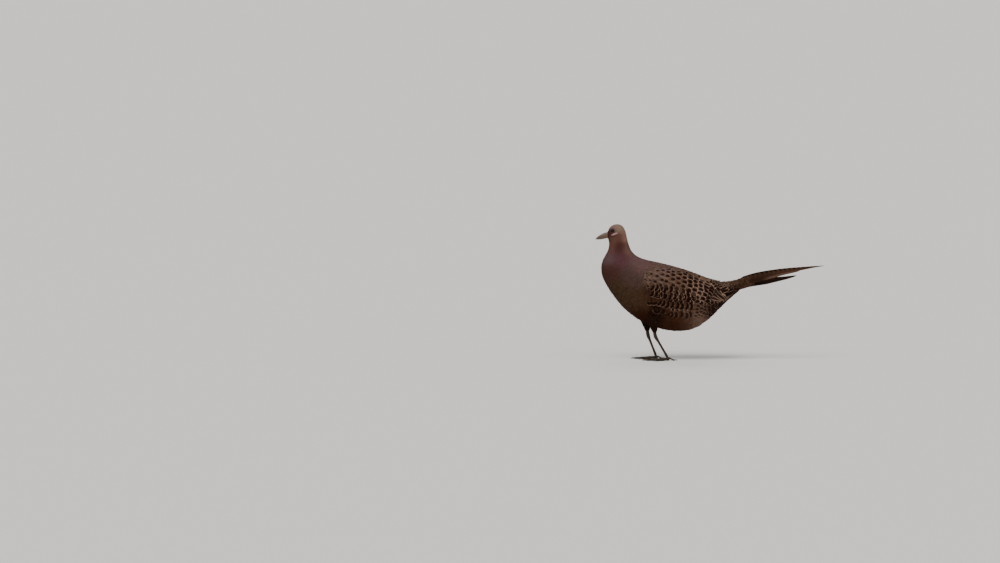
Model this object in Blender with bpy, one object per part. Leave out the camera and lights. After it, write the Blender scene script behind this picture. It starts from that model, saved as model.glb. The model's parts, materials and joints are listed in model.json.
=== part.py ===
"""A hen common pheasant, life size, walking slowly with her neck upright and her tail raised a little.

The bird faces -X, her left side faces -Y and +Z is up. Her feet stand on Z = 0, and the origin is under the
middle of her bounding box. Sizes below are millimetres; the finished objects are metres.
"""

import math

import bmesh
import bpy
import numpy as np
from mathutils import Matrix, Vector
from mathutils.bvhtree import BVHTree

MM = 0.001
GAP = 0.35  # clearance between neighbouring solids

# ---------------------------------------------------------------- driving sizes
ORIGIN_X = 110.0  # the design's X of the middle of the bounding box
BODY_ROUND = 28  # points round a body section

# Sections of head, neck and trunk from the bill's base to the tail's root:
# back x, z; underside x, z; half width; how square; how much wider the upper half is
SECTIONS = {
    "face": (-125.1, 296.0, -124.4, 279.8, 6.8, 1.00, 0.00),
    "lores": (-120.0, 305.4, -123.2, 276.4, 10.6, 1.00, -0.06),
    "brow": (-112.0, 311.2, -122.2, 272.4, 13.2, 0.98, -0.10),
    "crown": (-101.4, 313.0, -121.8, 267.8, 14.8, 0.98, -0.10),
    "hindcrown": (-91.4, 309.0, -122.2, 262.0, 15.4, 1.00, -0.06),
    "nape": (-84.6, 298.2, -123.6, 255.6, 15.8, 1.00, -0.02),
    "neck_top": (-80.8, 283.0, -126.4, 248.4, 17.0, 1.00, 0.00),
    "neck_mid": (-76.4, 266.2, -131.2, 239.8, 20.2, 1.00, 0.00),
    "neck_low": (-69.2, 250.2, -136.8, 228.6, 26.0, 1.00, 0.00),
    "mantle": (-54.4, 237.6, -140.0, 211.8, 34.5, 0.98, 0.00),
    "shoulder": (-33.0, 230.2, -136.0, 189.0, 43.5, 0.94, 0.02),
    "breast": (-10.0, 225.2, -118.0, 156.5, 50.5, 0.92, 0.04),
    "fore_back": (13.0, 219.6, -87.0, 118.4, 54.5, 0.90, 0.05),
    "back": (36.0, 213.4, -46.0, 88.0, 56.0, 0.90, 0.06),
    "belly": (58.0, 206.6, 0.0, 70.6, 55.5, 0.90, 0.06),
    "rump_front": (78.0, 199.4, 38.0, 66.4, 52.0, 0.92, 0.06),
    "rump": (98.0, 191.6, 73.0, 71.6, 46.0, 0.94, 0.05),
    "vent": (116.0, 185.0, 103.0, 90.0, 37.5, 0.96, 0.04),
    "coverts": (133.0, 180.4, 128.0, 113.0, 28.5, 1.00, 0.02),
    "coverts_mid": (149.0, 179.2, 148.5, 134.0, 20.5, 1.00, 0.00),
    "tail_root": (164.0, 182.0, 167.0, 150.0, 15.0, 1.00, 0.00),
    "tail_cap": (178.0, 186.8, 178.0, 160.0, 11.5, 1.00, 0.00),
}
NAMES = list(SECTIONS)

# Eyes
EYE_AT = (-113.4, 12.4, 297.4)  # x, half distance apart, z
EYE_R = 5.1

# Wings: the folded wing's outline in side view, along its length from the wrist to the tip
WING_TOP = ((-52.0, 199.0), (-34.0, 214.0), (0.0, 213.0), (46.0, 203.0), (92.0, 184.0), (122.0, 163.0), (146.0, 141.0))
WING_LOW = ((-52.0, 192.0), (-44.0, 168.0), (-8.0, 148.0), (32.0, 137.5), (74.0, 133.0), (112.0, 132.5), (146.0, 137.0))
WING_THICK = (2.2, 6.0, 7.4, 7.0, 5.8, 4.0, 1.4)
WING_CLEAR = 1.3  # between the trunk's facets and the wing's flat-faced inner side
WING_N = (19, 8)

# Legs: hock, foot (ball) and the place where the drumstick leaves the belly, x and z, with the half stance in y
LEGS = {
    "left": {"side": -1, "hip": (-2.0, 26.0, 122.0), "knee": (-21.0, 31.0, 98.0), "hock": (-16.0, 26.5, 57.0), "ball": (13.5, 26.5, 6.2), "turn": 6.0},
    "right": {"side": 1, "hip": (-16.0, 26.0, 122.0), "knee": (-36.0, 30.0, 98.0), "hock": (-32.0, 25.5, 56.0), "ball": (-12.5, 25.0, 6.2), "turn": 3.0},
}
THIGH_R = (17.0, 13.5, 5.4)  # radius at the belly, half way and above the hock
SHANK_R = (3.9, 2.75, 3.5)  # hock, middle, ball
# Toes: angle from straight ahead, length, radius at the base, joints
TOES = {
    "inner": (31.0, 34.0, 3.0),
    "middle": (0.0, 47.0, 3.3),
    "outer": (-33.0, 37.0, 2.9),
    "hind": (168.0, 13.5, 2.3),
}
CLAW = {"inner": 8.0, "middle": 9.5, "outer": 8.0, "hind": 6.0}

# Tail: the ridge of the longest pair in side view, and how far it falls and spreads each side
RIDGE = ((178.5, 187.6), (192.0, 193.2), (214.0, 199.6), (240.0, 204.6), (270.0, 208.6), (300.0, 211.6), (336.0, 214.8), (373.4, 217.6))
TENT_DROP = (24.4, 25.2, 27.0, 28.6, 27.6, 24.4, 19.6, 16.0)
TENT_SPREAD = (11.0, 15.0, 18.0, 19.0, 18.0, 15.5, 12.0, 9.0)


# ---------------------------------------------------------------- curves and sections
def spline(rows, t):
    """A smooth curve through the rows, with t from 0 at the first row to 1 at the last."""
    rows = np.asarray(rows, float)
    n = len(rows) - 1
    x = np.clip(np.asarray(t, float), 0, 1) * n
    i = np.clip(x.astype(int), 0, n - 1)
    f = (x - i)[..., None]
    p0, p1, p2, p3 = rows[np.maximum(i - 1, 0)], rows[i], rows[i + 1], rows[np.minimum(i + 2, n)]
    m1, m2 = (p2 - p0) / 2, (p3 - p1) / 2
    m1 = np.where((i == 0)[..., None], p2 - p1, m1)
    m2 = np.where((i == n - 1)[..., None], p2 - p1, m2)
    f2, f3 = f * f, f * f * f
    return (2 * f3 - 3 * f2 + 1) * p1 + (f3 - 2 * f2 + f) * m1 + (3 * f2 - 2 * f3) * p2 + (f3 - f2) * m2


TABLE = np.array(list(SECTIONS.values()))


def place(name):
    """Where a named section lies along the body, from 0 to 1."""
    return NAMES.index(name) / (len(NAMES) - 1)


def body(u, a):
    """The feathered outline: u runs from the bill's base to the tail, and a turns from the back (0) down her left side."""
    s = spline(TABLE, u)
    ca, sa = np.cos(a), np.sin(a)
    mid, half = (s[..., 0:2] + s[..., 2:4]) / 2, (s[..., 0:2] - s[..., 2:4]) / 2
    x = mid[..., 0] + half[..., 0] * ca
    z = mid[..., 1] + half[..., 1] * ca
    y = -s[..., 4] * np.sign(sa) * np.abs(sa) ** s[..., 5] * (1 + s[..., 6] * ca)
    return np.stack([x, y, z], -1)


# ---------------------------------------------------------------- mesh helpers
def finish(name, points, faces, material, smooth=True):
    """One closed object from points in millimetres, shifted so that the origin is under her middle."""
    mesh = bpy.data.meshes.new(name)
    shifted = (np.asarray(points, float) - (ORIGIN_X, 0, 0)) * MM
    mesh.from_pydata(shifted.tolist(), [], [tuple(int(i) for i in f) for f in faces])
    bm = bmesh.new()
    bm.from_mesh(mesh)
    bmesh.ops.remove_doubles(bm, verts=bm.verts, dist=0.01 * MM)
    bmesh.ops.recalc_face_normals(bm, faces=bm.faces)
    bm.to_mesh(mesh)
    bm.free()
    if smooth:
        mesh.shade_smooth()
        mesh.set_sharp_from_angle(angle=math.radians(48))
    obj = bpy.data.objects.new(name, mesh)
    bpy.context.scene.collection.objects.link(obj)
    obj.data.materials.append(material)
    return obj


def tube(rings, cap_first=True, cap_last=True):
    """Points and faces of a closed tube through rings of equal length, with flat caps."""
    n = len(rings[0])
    points = [p for ring in rings for p in ring]
    faces = []
    for i in range(len(rings) - 1):
        for j in range(n):
            k = (j + 1) % n
            faces.append((i * n + j, i * n + k, (i + 1) * n + k, (i + 1) * n + j))
    if cap_first:
        faces.append(tuple(range(n))[::-1])
    if cap_last:
        faces.append(tuple(range((len(rings) - 1) * n, len(rings) * n)))
    return points, faces


def slab(top, low):
    """A closed slab between two grids of points of one shape."""
    rows, cols = top.shape[:2]
    points = np.concatenate([top.reshape(-1, 3), low.reshape(-1, 3)])
    off = rows * cols
    at = lambda i, j: i * cols + j
    faces = []
    for i in range(rows - 1):
        for j in range(cols - 1):
            q = (at(i, j), at(i + 1, j), at(i + 1, j + 1), at(i, j + 1))
            faces.append(q)
            faces.append(tuple(off + k for k in q[::-1]))
    rim = [at(i, 0) for i in range(rows)] + [at(rows - 1, j) for j in range(1, cols)]
    rim += [at(i, cols - 1) for i in range(rows - 2, -1, -1)] + [at(0, j) for j in range(cols - 2, 0, -1)]
    for m, n in zip(rim, rim[1:] + rim[:1]):
        faces.append((m, off + m, off + n, n))
    return points, faces


def limb(path, radii, flat=1.0, count=10, ends=(True, True), across=(0.0, 0.0, 1.0)):
    """A round limb along a path of points, with a radius at each, closed at both ends by a small dome.

    across is a direction that the path never runs along."""
    path = np.asarray(path, float)
    rings = []
    n = len(path)
    for i, (p, r) in enumerate(zip(path, radii)):
        way = path[min(i + 1, n - 1)] - path[max(i - 1, 0)]
        way = way / np.linalg.norm(way)
        side = np.cross(way, across)
        side /= np.linalg.norm(side)
        up = np.cross(side, way)
        turn = [2 * math.pi * k / count for k in range(count)]
        ring = [p + r * (math.cos(t) * side + flat * math.sin(t) * up) for t in turn]
        if i == 0 and ends[0]:
            rings.append([p - way * r * 0.45 + 0.55 * (q - p) for q in ring])
        rings.append(ring)
        if i == n - 1 and ends[1]:
            rings.append([p + way * r * 0.45 + 0.55 * (q - p) for q in ring])
    return tube(rings)


def boolean(obj, cutter, operation):
    mod = obj.modifiers.new(operation.lower(), "BOOLEAN")
    mod.operation, mod.object, mod.solver = operation, cutter, "EXACT"


def helper(obj):
    obj.hide_render = True
    obj.display_type = "WIRE"
    return obj


def bake_modifiers(obj):
    """Keeps the evaluated mesh and clears the modifiers, for shapes that later pieces are measured from."""
    graph = bpy.context.evaluated_depsgraph_get()
    mesh = bpy.data.meshes.new_from_object(obj.evaluated_get(graph))
    obj.modifiers.clear()
    obj.data = mesh
    return obj


def tree_of(*objs):
    """A search tree over objects, in millimetres of the design."""
    points, faces = [], []
    for obj in objs:
        base = len(points)
        points += [Vector(v.co) / MM + Vector((ORIGIN_X, 0, 0)) for v in obj.data.vertices]
        faces += [tuple(base + i for i in p.vertices) for p in obj.data.polygons]
    return BVHTree.FromPolygons(points, faces)


# ---------------------------------------------------------------- materials
def material(name, colour, rough, metallic=0.0):
    mat = bpy.data.materials.new(name)
    mat.use_nodes = True
    shader = mat.node_tree.nodes["Principled BSDF"]
    shader.inputs["Base Color"].default_value = (*colour, 1)
    shader.inputs["Roughness"].default_value = rough
    shader.inputs["Metallic"].default_value = metallic
    mat.diffuse_color = (*colour, 1)
    return mat


# ---------------------------------------------------------------- the bird
def body_piece(name, first, last, rows, mat, trim=(True, True)):
    """A length of the body between two named sections, closed by flat ends."""
    u0, u1 = place(first), place(last)
    angles = np.arange(BODY_ROUND) * 2 * math.pi / BODY_ROUND
    rings = [body(np.full(BODY_ROUND, u), angles) for u in np.linspace(u0, u1, rows)]
    # Each cut end is drawn back by half the gap, along the body.
    for end, other, wanted in ((0, 1, trim[0]), (-1, -2, trim[1])):
        if wanted:
            way = rings[other].mean(0) - rings[end].mean(0)
            way /= np.linalg.norm(way)
            normal = np.cross(rings[end][BODY_ROUND // 4] - rings[end].mean(0), rings[end][0] - rings[end].mean(0))
            normal /= np.linalg.norm(normal)
            normal *= np.sign(normal @ way)
            step = rings[other] - rings[end]
            share = (GAP / 2) / np.maximum(step @ normal, 0.05)
            rings[end] = rings[end] + step * np.minimum(share, 0.6)[:, None]
    return finish(name, *tube(rings), mat)


def make_eyes_and_sockets(head, mats):
    for side, sign in (("left", -1), ("right", 1)):
        centre = Vector(((EYE_AT[0] - ORIGIN_X) * MM, sign * (EYE_AT[1] - 3.0) * MM, EYE_AT[2] * MM))
        for kind, radius in (("eye", EYE_R), ("socket", EYE_R + GAP)):
            bm = bmesh.new()
            bmesh.ops.create_uvsphere(bm, u_segments=14, v_segments=9, radius=radius * MM)
            bmesh.ops.rotate(bm, verts=bm.verts, cent=(0, 0, 0), matrix=Matrix.Rotation(math.pi / 2, 3, "X"))
            bmesh.ops.translate(bm, verts=bm.verts, vec=centre)
            mesh = bpy.data.meshes.new(f"{kind}_{side}")
            bm.to_mesh(mesh)
            bm.free()
            mesh.shade_smooth()
            obj = bpy.data.objects.new(f"{kind}_{side}", mesh)
            bpy.context.scene.collection.objects.link(obj)
            if kind == "socket":
                boolean(head, helper(obj), "DIFFERENCE")
            else:
                obj.data.materials.append(mats["eye"])


BILL_BASE_X = -125.1 - GAP
CULMEN = ((BILL_BASE_X, 294.6), (-132.0, 293.0), (-139.0, 290.2), (-146.0, 285.8), (-151.2, 281.0), (-153.4, 277.2))
TOMIUM = ((BILL_BASE_X, 285.6), (-132.0, 284.6), (-139.0, 283.6), (-145.6, 282.2), (-150.4, 279.8), (-152.9, 277.0))
GONYS = ((BILL_BASE_X, 280.6), (-131.0, 279.4), (-137.0, 278.2), (-142.6, 277.4), (-147.2, 277.2), (-149.6, 277.8))
BILL_W = (5.6, 5.0, 4.1, 3.0, 1.7, 0.7)


def bill_half(name, top, low, widths, mat, crown, keel):
    """A half of the bill: each section runs from the top line to the lower line, rounded on the crown or the keel."""
    rings = []
    for t in np.linspace(0, 1, 9):
        (x0, z0), (x1, z1) = spline(top, t), spline(low, t)
        w = float(spline([[v] for v in widths], t)[0])
        ring = []
        for k in range(14):
            a = 2 * math.pi * k / 14
            ca, sa = math.cos(a), math.sin(a)
            power = crown if ca > 0 else keel
            f = (1 + math.copysign(abs(ca) ** power, ca)) / 2
            ring.append((x1 + (x0 - x1) * f, -w * math.copysign(abs(sa) ** 0.85, sa), z1 + (z0 - z1) * f))
        rings.append(ring)
    return finish(name, *tube(rings), mat)


def wing_grid():
    """Side-view places of the folded wing's grid, from wrist to tip and from its lower to its upper edge."""
    ts = np.linspace(0, 1, WING_N[0])
    qs = np.linspace(-1, 1, WING_N[1])
    top, low = spline(WING_TOP, ts), spline(WING_LOW, ts)
    f = ((qs + 1) / 2)[None, :, None]
    return ts, qs, low[:, None, :] * (1 - f) + top[:, None, :] * f


def make_wing(side, sign, trunk_tree, mat):
    """The folded wing lies on the trunk's side: its inner face follows the trunk, and its outer face swells over it."""
    ts, qs, grid = wing_grid()
    thick = spline([[v] for v in WING_THICK], ts)[:, 0]
    rows, cols = grid.shape[:2]
    inner = np.zeros((rows, cols, 3))
    outer = np.zeros((rows, cols, 3))
    for i in range(rows):
        for j in range(cols):
            x, z = grid[i, j]
            hit, normal, _, _ = trunk_tree.ray_cast(Vector((x, sign * 200.0, z)), Vector((0, -sign, 0)))
            if hit is None:
                near, normal, _, _ = trunk_tree.find_nearest(Vector((x, sign * 30.0, z)))
                hit = Vector((x, near.y, z))
            normal = np.array(normal)
            if normal[1] * sign < 0:
                normal = -normal
            rim = (1 - abs(qs[j]) ** 2.4) * min(1.0, 6 * ts[i] + 0.12) * min(1.0, 5 * (1 - ts[i]) + 0.15)
            base = np.array(hit)
            inner[i, j] = base + normal * WING_CLEAR
            outer[i, j] = base + normal * (WING_CLEAR + 0.8 + thick[i] * rim)
    points, faces = slab(outer, inner)
    return finish(f"wing_{side}", points, faces, mat)


def leg_path(leg):
    s = leg["side"]
    return {k: np.array([leg[k][0], s * leg[k][1], leg[k][2]]) for k in ("hip", "knee", "hock", "ball")}


def make_leg(side, leg, cutter, mats):
    p = leg_path(leg)
    # drumstick, feathered down to just above the hock
    path = [p["hip"], p["knee"], p["knee"] * 0.45 + p["hock"] * 0.55 + (0, 0, 1.0), p["hock"] + (p["knee"] - p["hock"]) * 0.26]
    ts = np.linspace(0, 1, 9)
    radii = spline([[THIGH_R[0]], [THIGH_R[1]], [8.4], [THIGH_R[2]]], ts)[:, 0]
    thigh = finish(f"thigh_{side}", *limb(spline(path, ts), radii, count=16, across=(0, 1, 0)), mats["plumage_belly"])
    boolean(thigh, cutter, "DIFFERENCE")
    bake_modifiers(thigh)
    # shank, from the hock to the ball of the foot
    low_thigh = path[-1]
    way = p["hock"] - low_thigh
    way /= np.linalg.norm(way)
    start = low_thigh + way * (THIGH_R[2] * 0.45 + 3.6 * 0.45 + GAP + 0.25)
    ball = p["ball"]
    shank_way = ball - p["hock"]
    shank_way /= np.linalg.norm(shank_way)
    end = ball - shank_way * 5.2
    shank_path = [start, p["hock"] + (0.6, 0, -0.6), p["hock"] * 0.72 + ball * 0.28, p["hock"] * 0.35 + ball * 0.65, end]
    ts = np.linspace(0, 1, 9)
    radii = spline([[3.6], [4.3], [2.9], [2.75], [3.3]], ts)[:, 0]
    finish(f"shank_{side}", *limb(spline(shank_path, ts), radii, count=10, across=(0, 1, 0)), mats["leg"])
    make_foot(side, leg, ball, mats)


def toe_path(leg, toe, ball):
    """A toe's centre line: it rises at the ball, arches a little and comes down to its pad before the claw."""
    angle, length, radius = TOES[toe]
    turn = math.radians(180 - leg["side"] * (angle + leg["turn"]) * 1.0)
    way = np.array([math.cos(turn), math.sin(turn), 0.0])
    if toe == "hind":
        rise = ((-0.6, 0.4), (0.3, -0.4), (0.65, -2.6), (1.0, -4.5))
        start_z = ball[2] - 0.2
    else:
        rise = ((-0.04, -0.6), (0.25, -1.6), (0.5, -2.2), (0.75, -2.8), (1.0, -3.5))
        start_z = ball[2] - 0.9
    if toe == "hind":
        points = [ball + way * length * max(f, 0.0) + (0, 0, start_z - ball[2] + dz) for f, dz in rise]
    else:
        points = [ball + way * length * f + (0, 0, start_z - ball[2] + dz) for f, dz in rise]
    return points, way, radius


def make_foot(side, leg, ball, mats):
    """Ball and four toes in one piece, each toe with its joints' pads, cut flat where it stands."""
    pieces = []
    for toe in TOES:
        points, way, radius = toe_path(leg, toe, ball)
        joints = {"inner": 2, "middle": 3, "outer": 4, "hind": 1}[toe]
        ts = np.linspace(0, 1, {"inner": 8, "middle": 10, "outer": 9, "hind": 5}[toe])
        line = spline(points, ts)
        swell = 1 + 0.10 * np.cos(2 * math.pi * ts * joints) * (ts > 0.05)
        radii = radius * (1 - 0.34 * ts) * swell
        pts, faces = limb(line, radii, flat=1.0, count=8)
        pieces.append(finish(f"toe_{side}_{toe}", pts, faces, mats["leg"]))
        tip = line[-1]
        end_r = radii[-1]
        # claw: a curved tapering horn past the toe's end
        ahead = line[-1] - line[-2]
        ahead /= np.linalg.norm(ahead)
        start = tip + ahead * (end_r * 0.45 + GAP + end_r * 0.36)
        reach = CLAW[toe]
        curve = [start, start + way * reach * 0.45 + (0, 0, 0.25), start + way * reach * 0.8 + (0, 0, -0.5), start + way * reach + (0, 0, -1.25)]
        cts = np.linspace(0, 1, 5)
        line = spline(curve, cts) + (0, 0, 1.0 if toe == "hind" else 0.45)
        finish(f"claw_{side}_{toe}", *limb(line, end_r * 0.78 * (1 - 0.78 * cts ** 1.2), flat=1.05, count=6), mats["claw"])
    pad, faces = limb([ball + (1.6, 0, -1.3), ball + (-0.4, 0, -1.6), ball + (-3.4, 0, -2.0)], [3.9, 4.5, 3.6], count=10)
    foot = finish(f"foot_{side}", pad, faces, mats["leg"])
    for piece in pieces:
        boolean(foot, piece, "UNION")
    bake_modifiers(foot)
    for piece in pieces:
        bpy.data.objects.remove(piece)
    return foot


def flatten_soles(obj, level=0.0, depth=0.55):
    """Presses what reaches below the floor up to it, so that the foot stands on small flats."""
    for v in obj.data.vertices:
        if v.co.z < (level + depth) * MM:
            v.co.z = level * MM


def tail_point(s, v, sign, lift=0.0):
    """The tented tail: s from root to tip, v from the ridge (0) to the lower edge (1) on one side."""
    x, z = spline(RIDGE, s)
    drop = spline([[d] for d in TENT_DROP], s)[0]
    spread = spline([[d] for d in TENT_SPREAD], s)[0]
    return np.array([x, sign * spread * v ** 0.92, z - drop * v ** 1.12 + lift])


def make_tail(mats):
    # the longest pair, on the ridge: one narrow pointed vane each side of it, joined along the ridge
    rows = 20
    ss = np.linspace(0.0, 1.0, rows)
    half = np.interp(ss, (0, 0.12, 0.35, 0.6, 0.8, 0.93, 1.0), (0.40, 0.44, 0.44, 0.40, 0.34, 0.22, 0.05))
    cols = np.linspace(-1, 1, 5)
    top = np.array([[tail_point(s, abs(c) * h, math.copysign(1, c)) for c in cols] for s, h in zip(ss, half)])
    low = top - (0, 0, 1.3)
    points, faces = slab(top, low)
    finish("tail_centre", points, faces, mats["plumage_tail"])
    # each side's other feathers, as one stack that gets shorter towards its lower edge
    for side, sign in (("left", -1), ("right", 1)):
        vs = np.linspace(0.10, 1.0, 6)
        ends = np.interp(vs, (0.1, 0.35, 0.6, 0.8, 0.92, 1.0), (0.80, 0.80, 0.775, 0.72, 0.60, 0.42))
        rows = 15
        top = np.zeros((rows, len(vs), 3))
        for j, (v, e) in enumerate(zip(vs, ends)):
            for i, s in enumerate(np.linspace(0.0, e, rows)):
                top[i, j] = tail_point(s, v, sign)
        # under the longest pair, and thinner towards the tips
        depth = np.linspace(1.3 + GAP + 0.25, 1.3 + GAP + 0.25, rows)[:, None] + np.zeros(len(vs))
        top[:, :, 2] -= depth
        thick = np.linspace(2.6, 1.0, rows)[:, None] + np.zeros(len(vs))
        low = top.copy()
        low[:, :, 2] -= thick
        points, faces = slab(top, low)
        finish(f"tail_{side}", points, faces, mats["plumage_tail"])


def main():
    for obj in list(bpy.data.objects):
        bpy.data.objects.remove(obj)
    mats = {
        "plumage_head": material("plumage_head", (0.23, 0.135, 0.095), 0.7),
        "plumage_neck": material("plumage_neck", (0.22, 0.115, 0.10), 0.7),
        "plumage_breast": material("plumage_breast", (0.25, 0.155, 0.09), 0.7),
        "plumage_wing": material("plumage_wing", (0.26, 0.17, 0.12), 0.7),
        "plumage_belly": material("plumage_belly", (0.17, 0.105, 0.07), 0.75),
        "plumage_tail": material("plumage_tail", (0.17, 0.10, 0.06), 0.65),
        "bill": material("bill", (0.20, 0.17, 0.14), 0.35),
        "eye": material("eye", (0.05, 0.022, 0.012), 0.05),
        "leg": material("leg", (0.16, 0.13, 0.11), 0.45),
        "claw": material("claw", (0.05, 0.04, 0.035), 0.35),
    }
    head = body_piece("head", "face", "nape", 14, mats["plumage_head"], trim=(False, True))
    make_eyes_and_sockets(head, mats)
    body_piece("neck", "nape", "mantle", 11, mats["plumage_neck"])
    trunk = body_piece("trunk", "mantle", "vent", 20, mats["plumage_breast"])
    coverts = body_piece("tail_coverts", "vent", "tail_cap", 11, mats["plumage_tail"], trim=(True, False))
    bpy.context.view_layer.update()
    side_tree = tree_of(trunk, coverts)
    for side, sign in (("left", -1), ("right", 1)):
        make_wing(side, sign, side_tree, mats["plumage_wing"])
    bill_half("bill_upper", CULMEN, TOMIUM, BILL_W, mats["bill"], 0.8, 1.0)
    bill_half("bill_lower", [(x, z - GAP) for x, z in TOMIUM[:-1]] + [(-150.2, 279.0 - GAP)], GONYS, [w * 0.86 for w in BILL_W], mats["bill"], 0.9, 0.9)
    # the drumsticks are cut off by the trunk, grown by the gap
    cutter = body_piece("trunk_cutter", "mantle", "vent", 20, mats["plumage_breast"], trim=(False, False))
    for v in cutter.data.vertices:
        v.co += v.normal * (GAP + 0.1) * MM
    helper(cutter)
    for side, leg in LEGS.items():
        make_leg(side, leg, cutter, mats)
        flatten_soles(bpy.data.objects[f"foot_{side}"])
    make_tail(mats)


main()
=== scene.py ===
"""The looks of a hen common pheasant, life size: one skin, her feathers as solid vanes, eyes, bill, legs and claws.

Shapes are worked out in design millimetres, where her left side faces -Y, and are moved into the frame as they are made.
"""

import json
import math

import bpy
import numpy as np
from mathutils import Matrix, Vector
from mathutils.bvhtree import BVHTree
from mathutils.kdtree import KDTree

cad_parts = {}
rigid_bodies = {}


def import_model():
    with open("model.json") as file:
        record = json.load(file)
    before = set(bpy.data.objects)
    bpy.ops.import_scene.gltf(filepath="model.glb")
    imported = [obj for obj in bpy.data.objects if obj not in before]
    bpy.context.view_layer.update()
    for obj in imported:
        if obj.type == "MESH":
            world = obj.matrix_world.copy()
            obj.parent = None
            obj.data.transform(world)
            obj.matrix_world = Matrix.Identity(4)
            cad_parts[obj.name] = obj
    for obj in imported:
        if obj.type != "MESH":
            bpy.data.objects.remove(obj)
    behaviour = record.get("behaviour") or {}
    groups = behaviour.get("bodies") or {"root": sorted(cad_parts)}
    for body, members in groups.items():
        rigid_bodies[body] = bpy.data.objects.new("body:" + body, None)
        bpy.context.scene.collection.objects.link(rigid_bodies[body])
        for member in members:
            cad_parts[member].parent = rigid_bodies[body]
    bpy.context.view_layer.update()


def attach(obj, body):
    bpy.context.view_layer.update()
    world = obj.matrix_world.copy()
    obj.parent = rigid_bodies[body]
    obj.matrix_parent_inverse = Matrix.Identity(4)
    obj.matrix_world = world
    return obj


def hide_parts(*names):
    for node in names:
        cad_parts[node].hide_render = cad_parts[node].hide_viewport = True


for left_over in list(bpy.data.objects):
    bpy.data.objects.remove(left_over)
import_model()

MM = 0.001
ORIGIN_X = 110.0
rng = np.random.default_rng(7)

# ---------------------------------------------------------------- her outline, as the solids have it
SECTIONS = {
    "face": (-125.1, 296.0, -124.4, 279.8, 6.8, 1.00, 0.00),
    "lores": (-120.0, 305.4, -123.2, 276.4, 10.6, 1.00, -0.06),
    "brow": (-112.0, 311.2, -122.2, 272.4, 13.2, 0.98, -0.10),
    "crown": (-101.4, 313.0, -121.8, 267.8, 14.8, 0.98, -0.10),
    "hindcrown": (-91.4, 309.0, -122.2, 262.0, 15.4, 1.00, -0.06),
    "nape": (-84.6, 298.2, -123.6, 255.6, 15.8, 1.00, -0.02),
    "neck_top": (-80.8, 283.0, -126.4, 248.4, 17.0, 1.00, 0.00),
    "neck_mid": (-76.4, 266.2, -131.2, 239.8, 20.2, 1.00, 0.00),
    "neck_low": (-69.2, 250.2, -136.8, 228.6, 26.0, 1.00, 0.00),
    "mantle": (-54.4, 237.6, -140.0, 211.8, 34.5, 0.98, 0.00),
    "shoulder": (-33.0, 230.2, -136.0, 189.0, 43.5, 0.94, 0.02),
    "breast": (-10.0, 225.2, -118.0, 156.5, 50.5, 0.92, 0.04),
    "fore_back": (13.0, 219.6, -87.0, 118.4, 54.5, 0.90, 0.05),
    "back": (36.0, 213.4, -46.0, 88.0, 56.0, 0.90, 0.06),
    "belly": (58.0, 206.6, 0.0, 70.6, 55.5, 0.90, 0.06),
    "rump_front": (78.0, 199.4, 38.0, 66.4, 52.0, 0.92, 0.06),
    "rump": (98.0, 191.6, 73.0, 71.6, 46.0, 0.94, 0.05),
    "vent": (116.0, 185.0, 103.0, 90.0, 37.5, 0.96, 0.04),
    "coverts": (133.0, 180.4, 128.0, 113.0, 28.5, 1.00, 0.02),
    "coverts_mid": (149.0, 179.2, 148.5, 134.0, 20.5, 1.00, 0.00),
    "tail_root": (164.0, 182.0, 167.0, 150.0, 15.0, 1.00, 0.00),
    "tail_cap": (178.0, 186.8, 178.0, 160.0, 11.5, 1.00, 0.00),
}
NAMES = list(SECTIONS)
TABLE = np.array(list(SECTIONS.values()))

EYE_AT = np.array((-113.4, 9.4, 297.4))
EYE_R = 5.1
WING_TOP = ((-52.0, 199.0), (-34.0, 214.0), (0.0, 213.0), (46.0, 203.0), (92.0, 184.0), (122.0, 163.0), (146.0, 141.0))
WING_LOW = ((-52.0, 192.0), (-44.0, 168.0), (-8.0, 148.0), (32.0, 137.5), (74.0, 133.0), (112.0, 132.5), (146.0, 137.0))
WING_THICK = ((2.2,), (6.0,), (7.4,), (7.0,), (5.8,), (4.0,), (1.4,))
LEGS = {
    "left": {"side": -1, "hip": (-2.0, 26.0, 122.0), "knee": (-21.0, 31.0, 98.0), "hock": (-16.0, 26.5, 57.0), "ball": (13.5, 26.5, 6.2), "turn": 6.0},
    "right": {"side": 1, "hip": (-16.0, 26.0, 122.0), "knee": (-36.0, 30.0, 98.0), "hock": (-32.0, 25.5, 56.0), "ball": (-12.5, 25.0, 6.2), "turn": 3.0},
}
THIGH_R = ((17.0,), (13.5,), (8.4,), (5.4,))
TOES = {"inner": (31.0, 34.0, 3.0, 2), "middle": (0.0, 47.0, 3.3, 3), "outer": (-33.0, 37.0, 2.9, 4), "hind": (168.0, 13.5, 2.3, 1)}
CLAW = {"inner": 8.0, "middle": 9.5, "outer": 8.0, "hind": 6.0}
RIDGE = ((178.5, 187.6), (192.0, 193.2), (214.0, 199.6), (240.0, 204.6), (270.0, 208.6), (300.0, 211.6), (336.0, 214.8), (373.4, 217.6))
TENT_DROP = ((24.4,), (25.2,), (27.0,), (28.6,), (27.6,), (24.4,), (19.6,), (16.0,))
TENT_SPREAD = ((11.0,), (15.0,), (18.0,), (19.0,), (18.0,), (15.5,), (12.0,), (9.0,))
BILL_BASE_X = -125.45
CULMEN = ((BILL_BASE_X, 294.6), (-132.0, 293.0), (-139.0, 290.2), (-146.0, 285.8), (-151.2, 281.0), (-153.4, 277.2))
TOMIUM = ((BILL_BASE_X, 285.6), (-132.0, 284.6), (-139.0, 283.6), (-145.6, 282.2), (-150.4, 279.8), (-152.9, 277.0))
GONYS = ((BILL_BASE_X, 280.6), (-131.0, 279.4), (-137.0, 278.2), (-142.6, 277.4), (-147.2, 277.2), (-149.6, 277.8))
BILL_W = ((5.6,), (5.0,), (4.1,), (3.0,), (1.7,), (0.7,))


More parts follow.
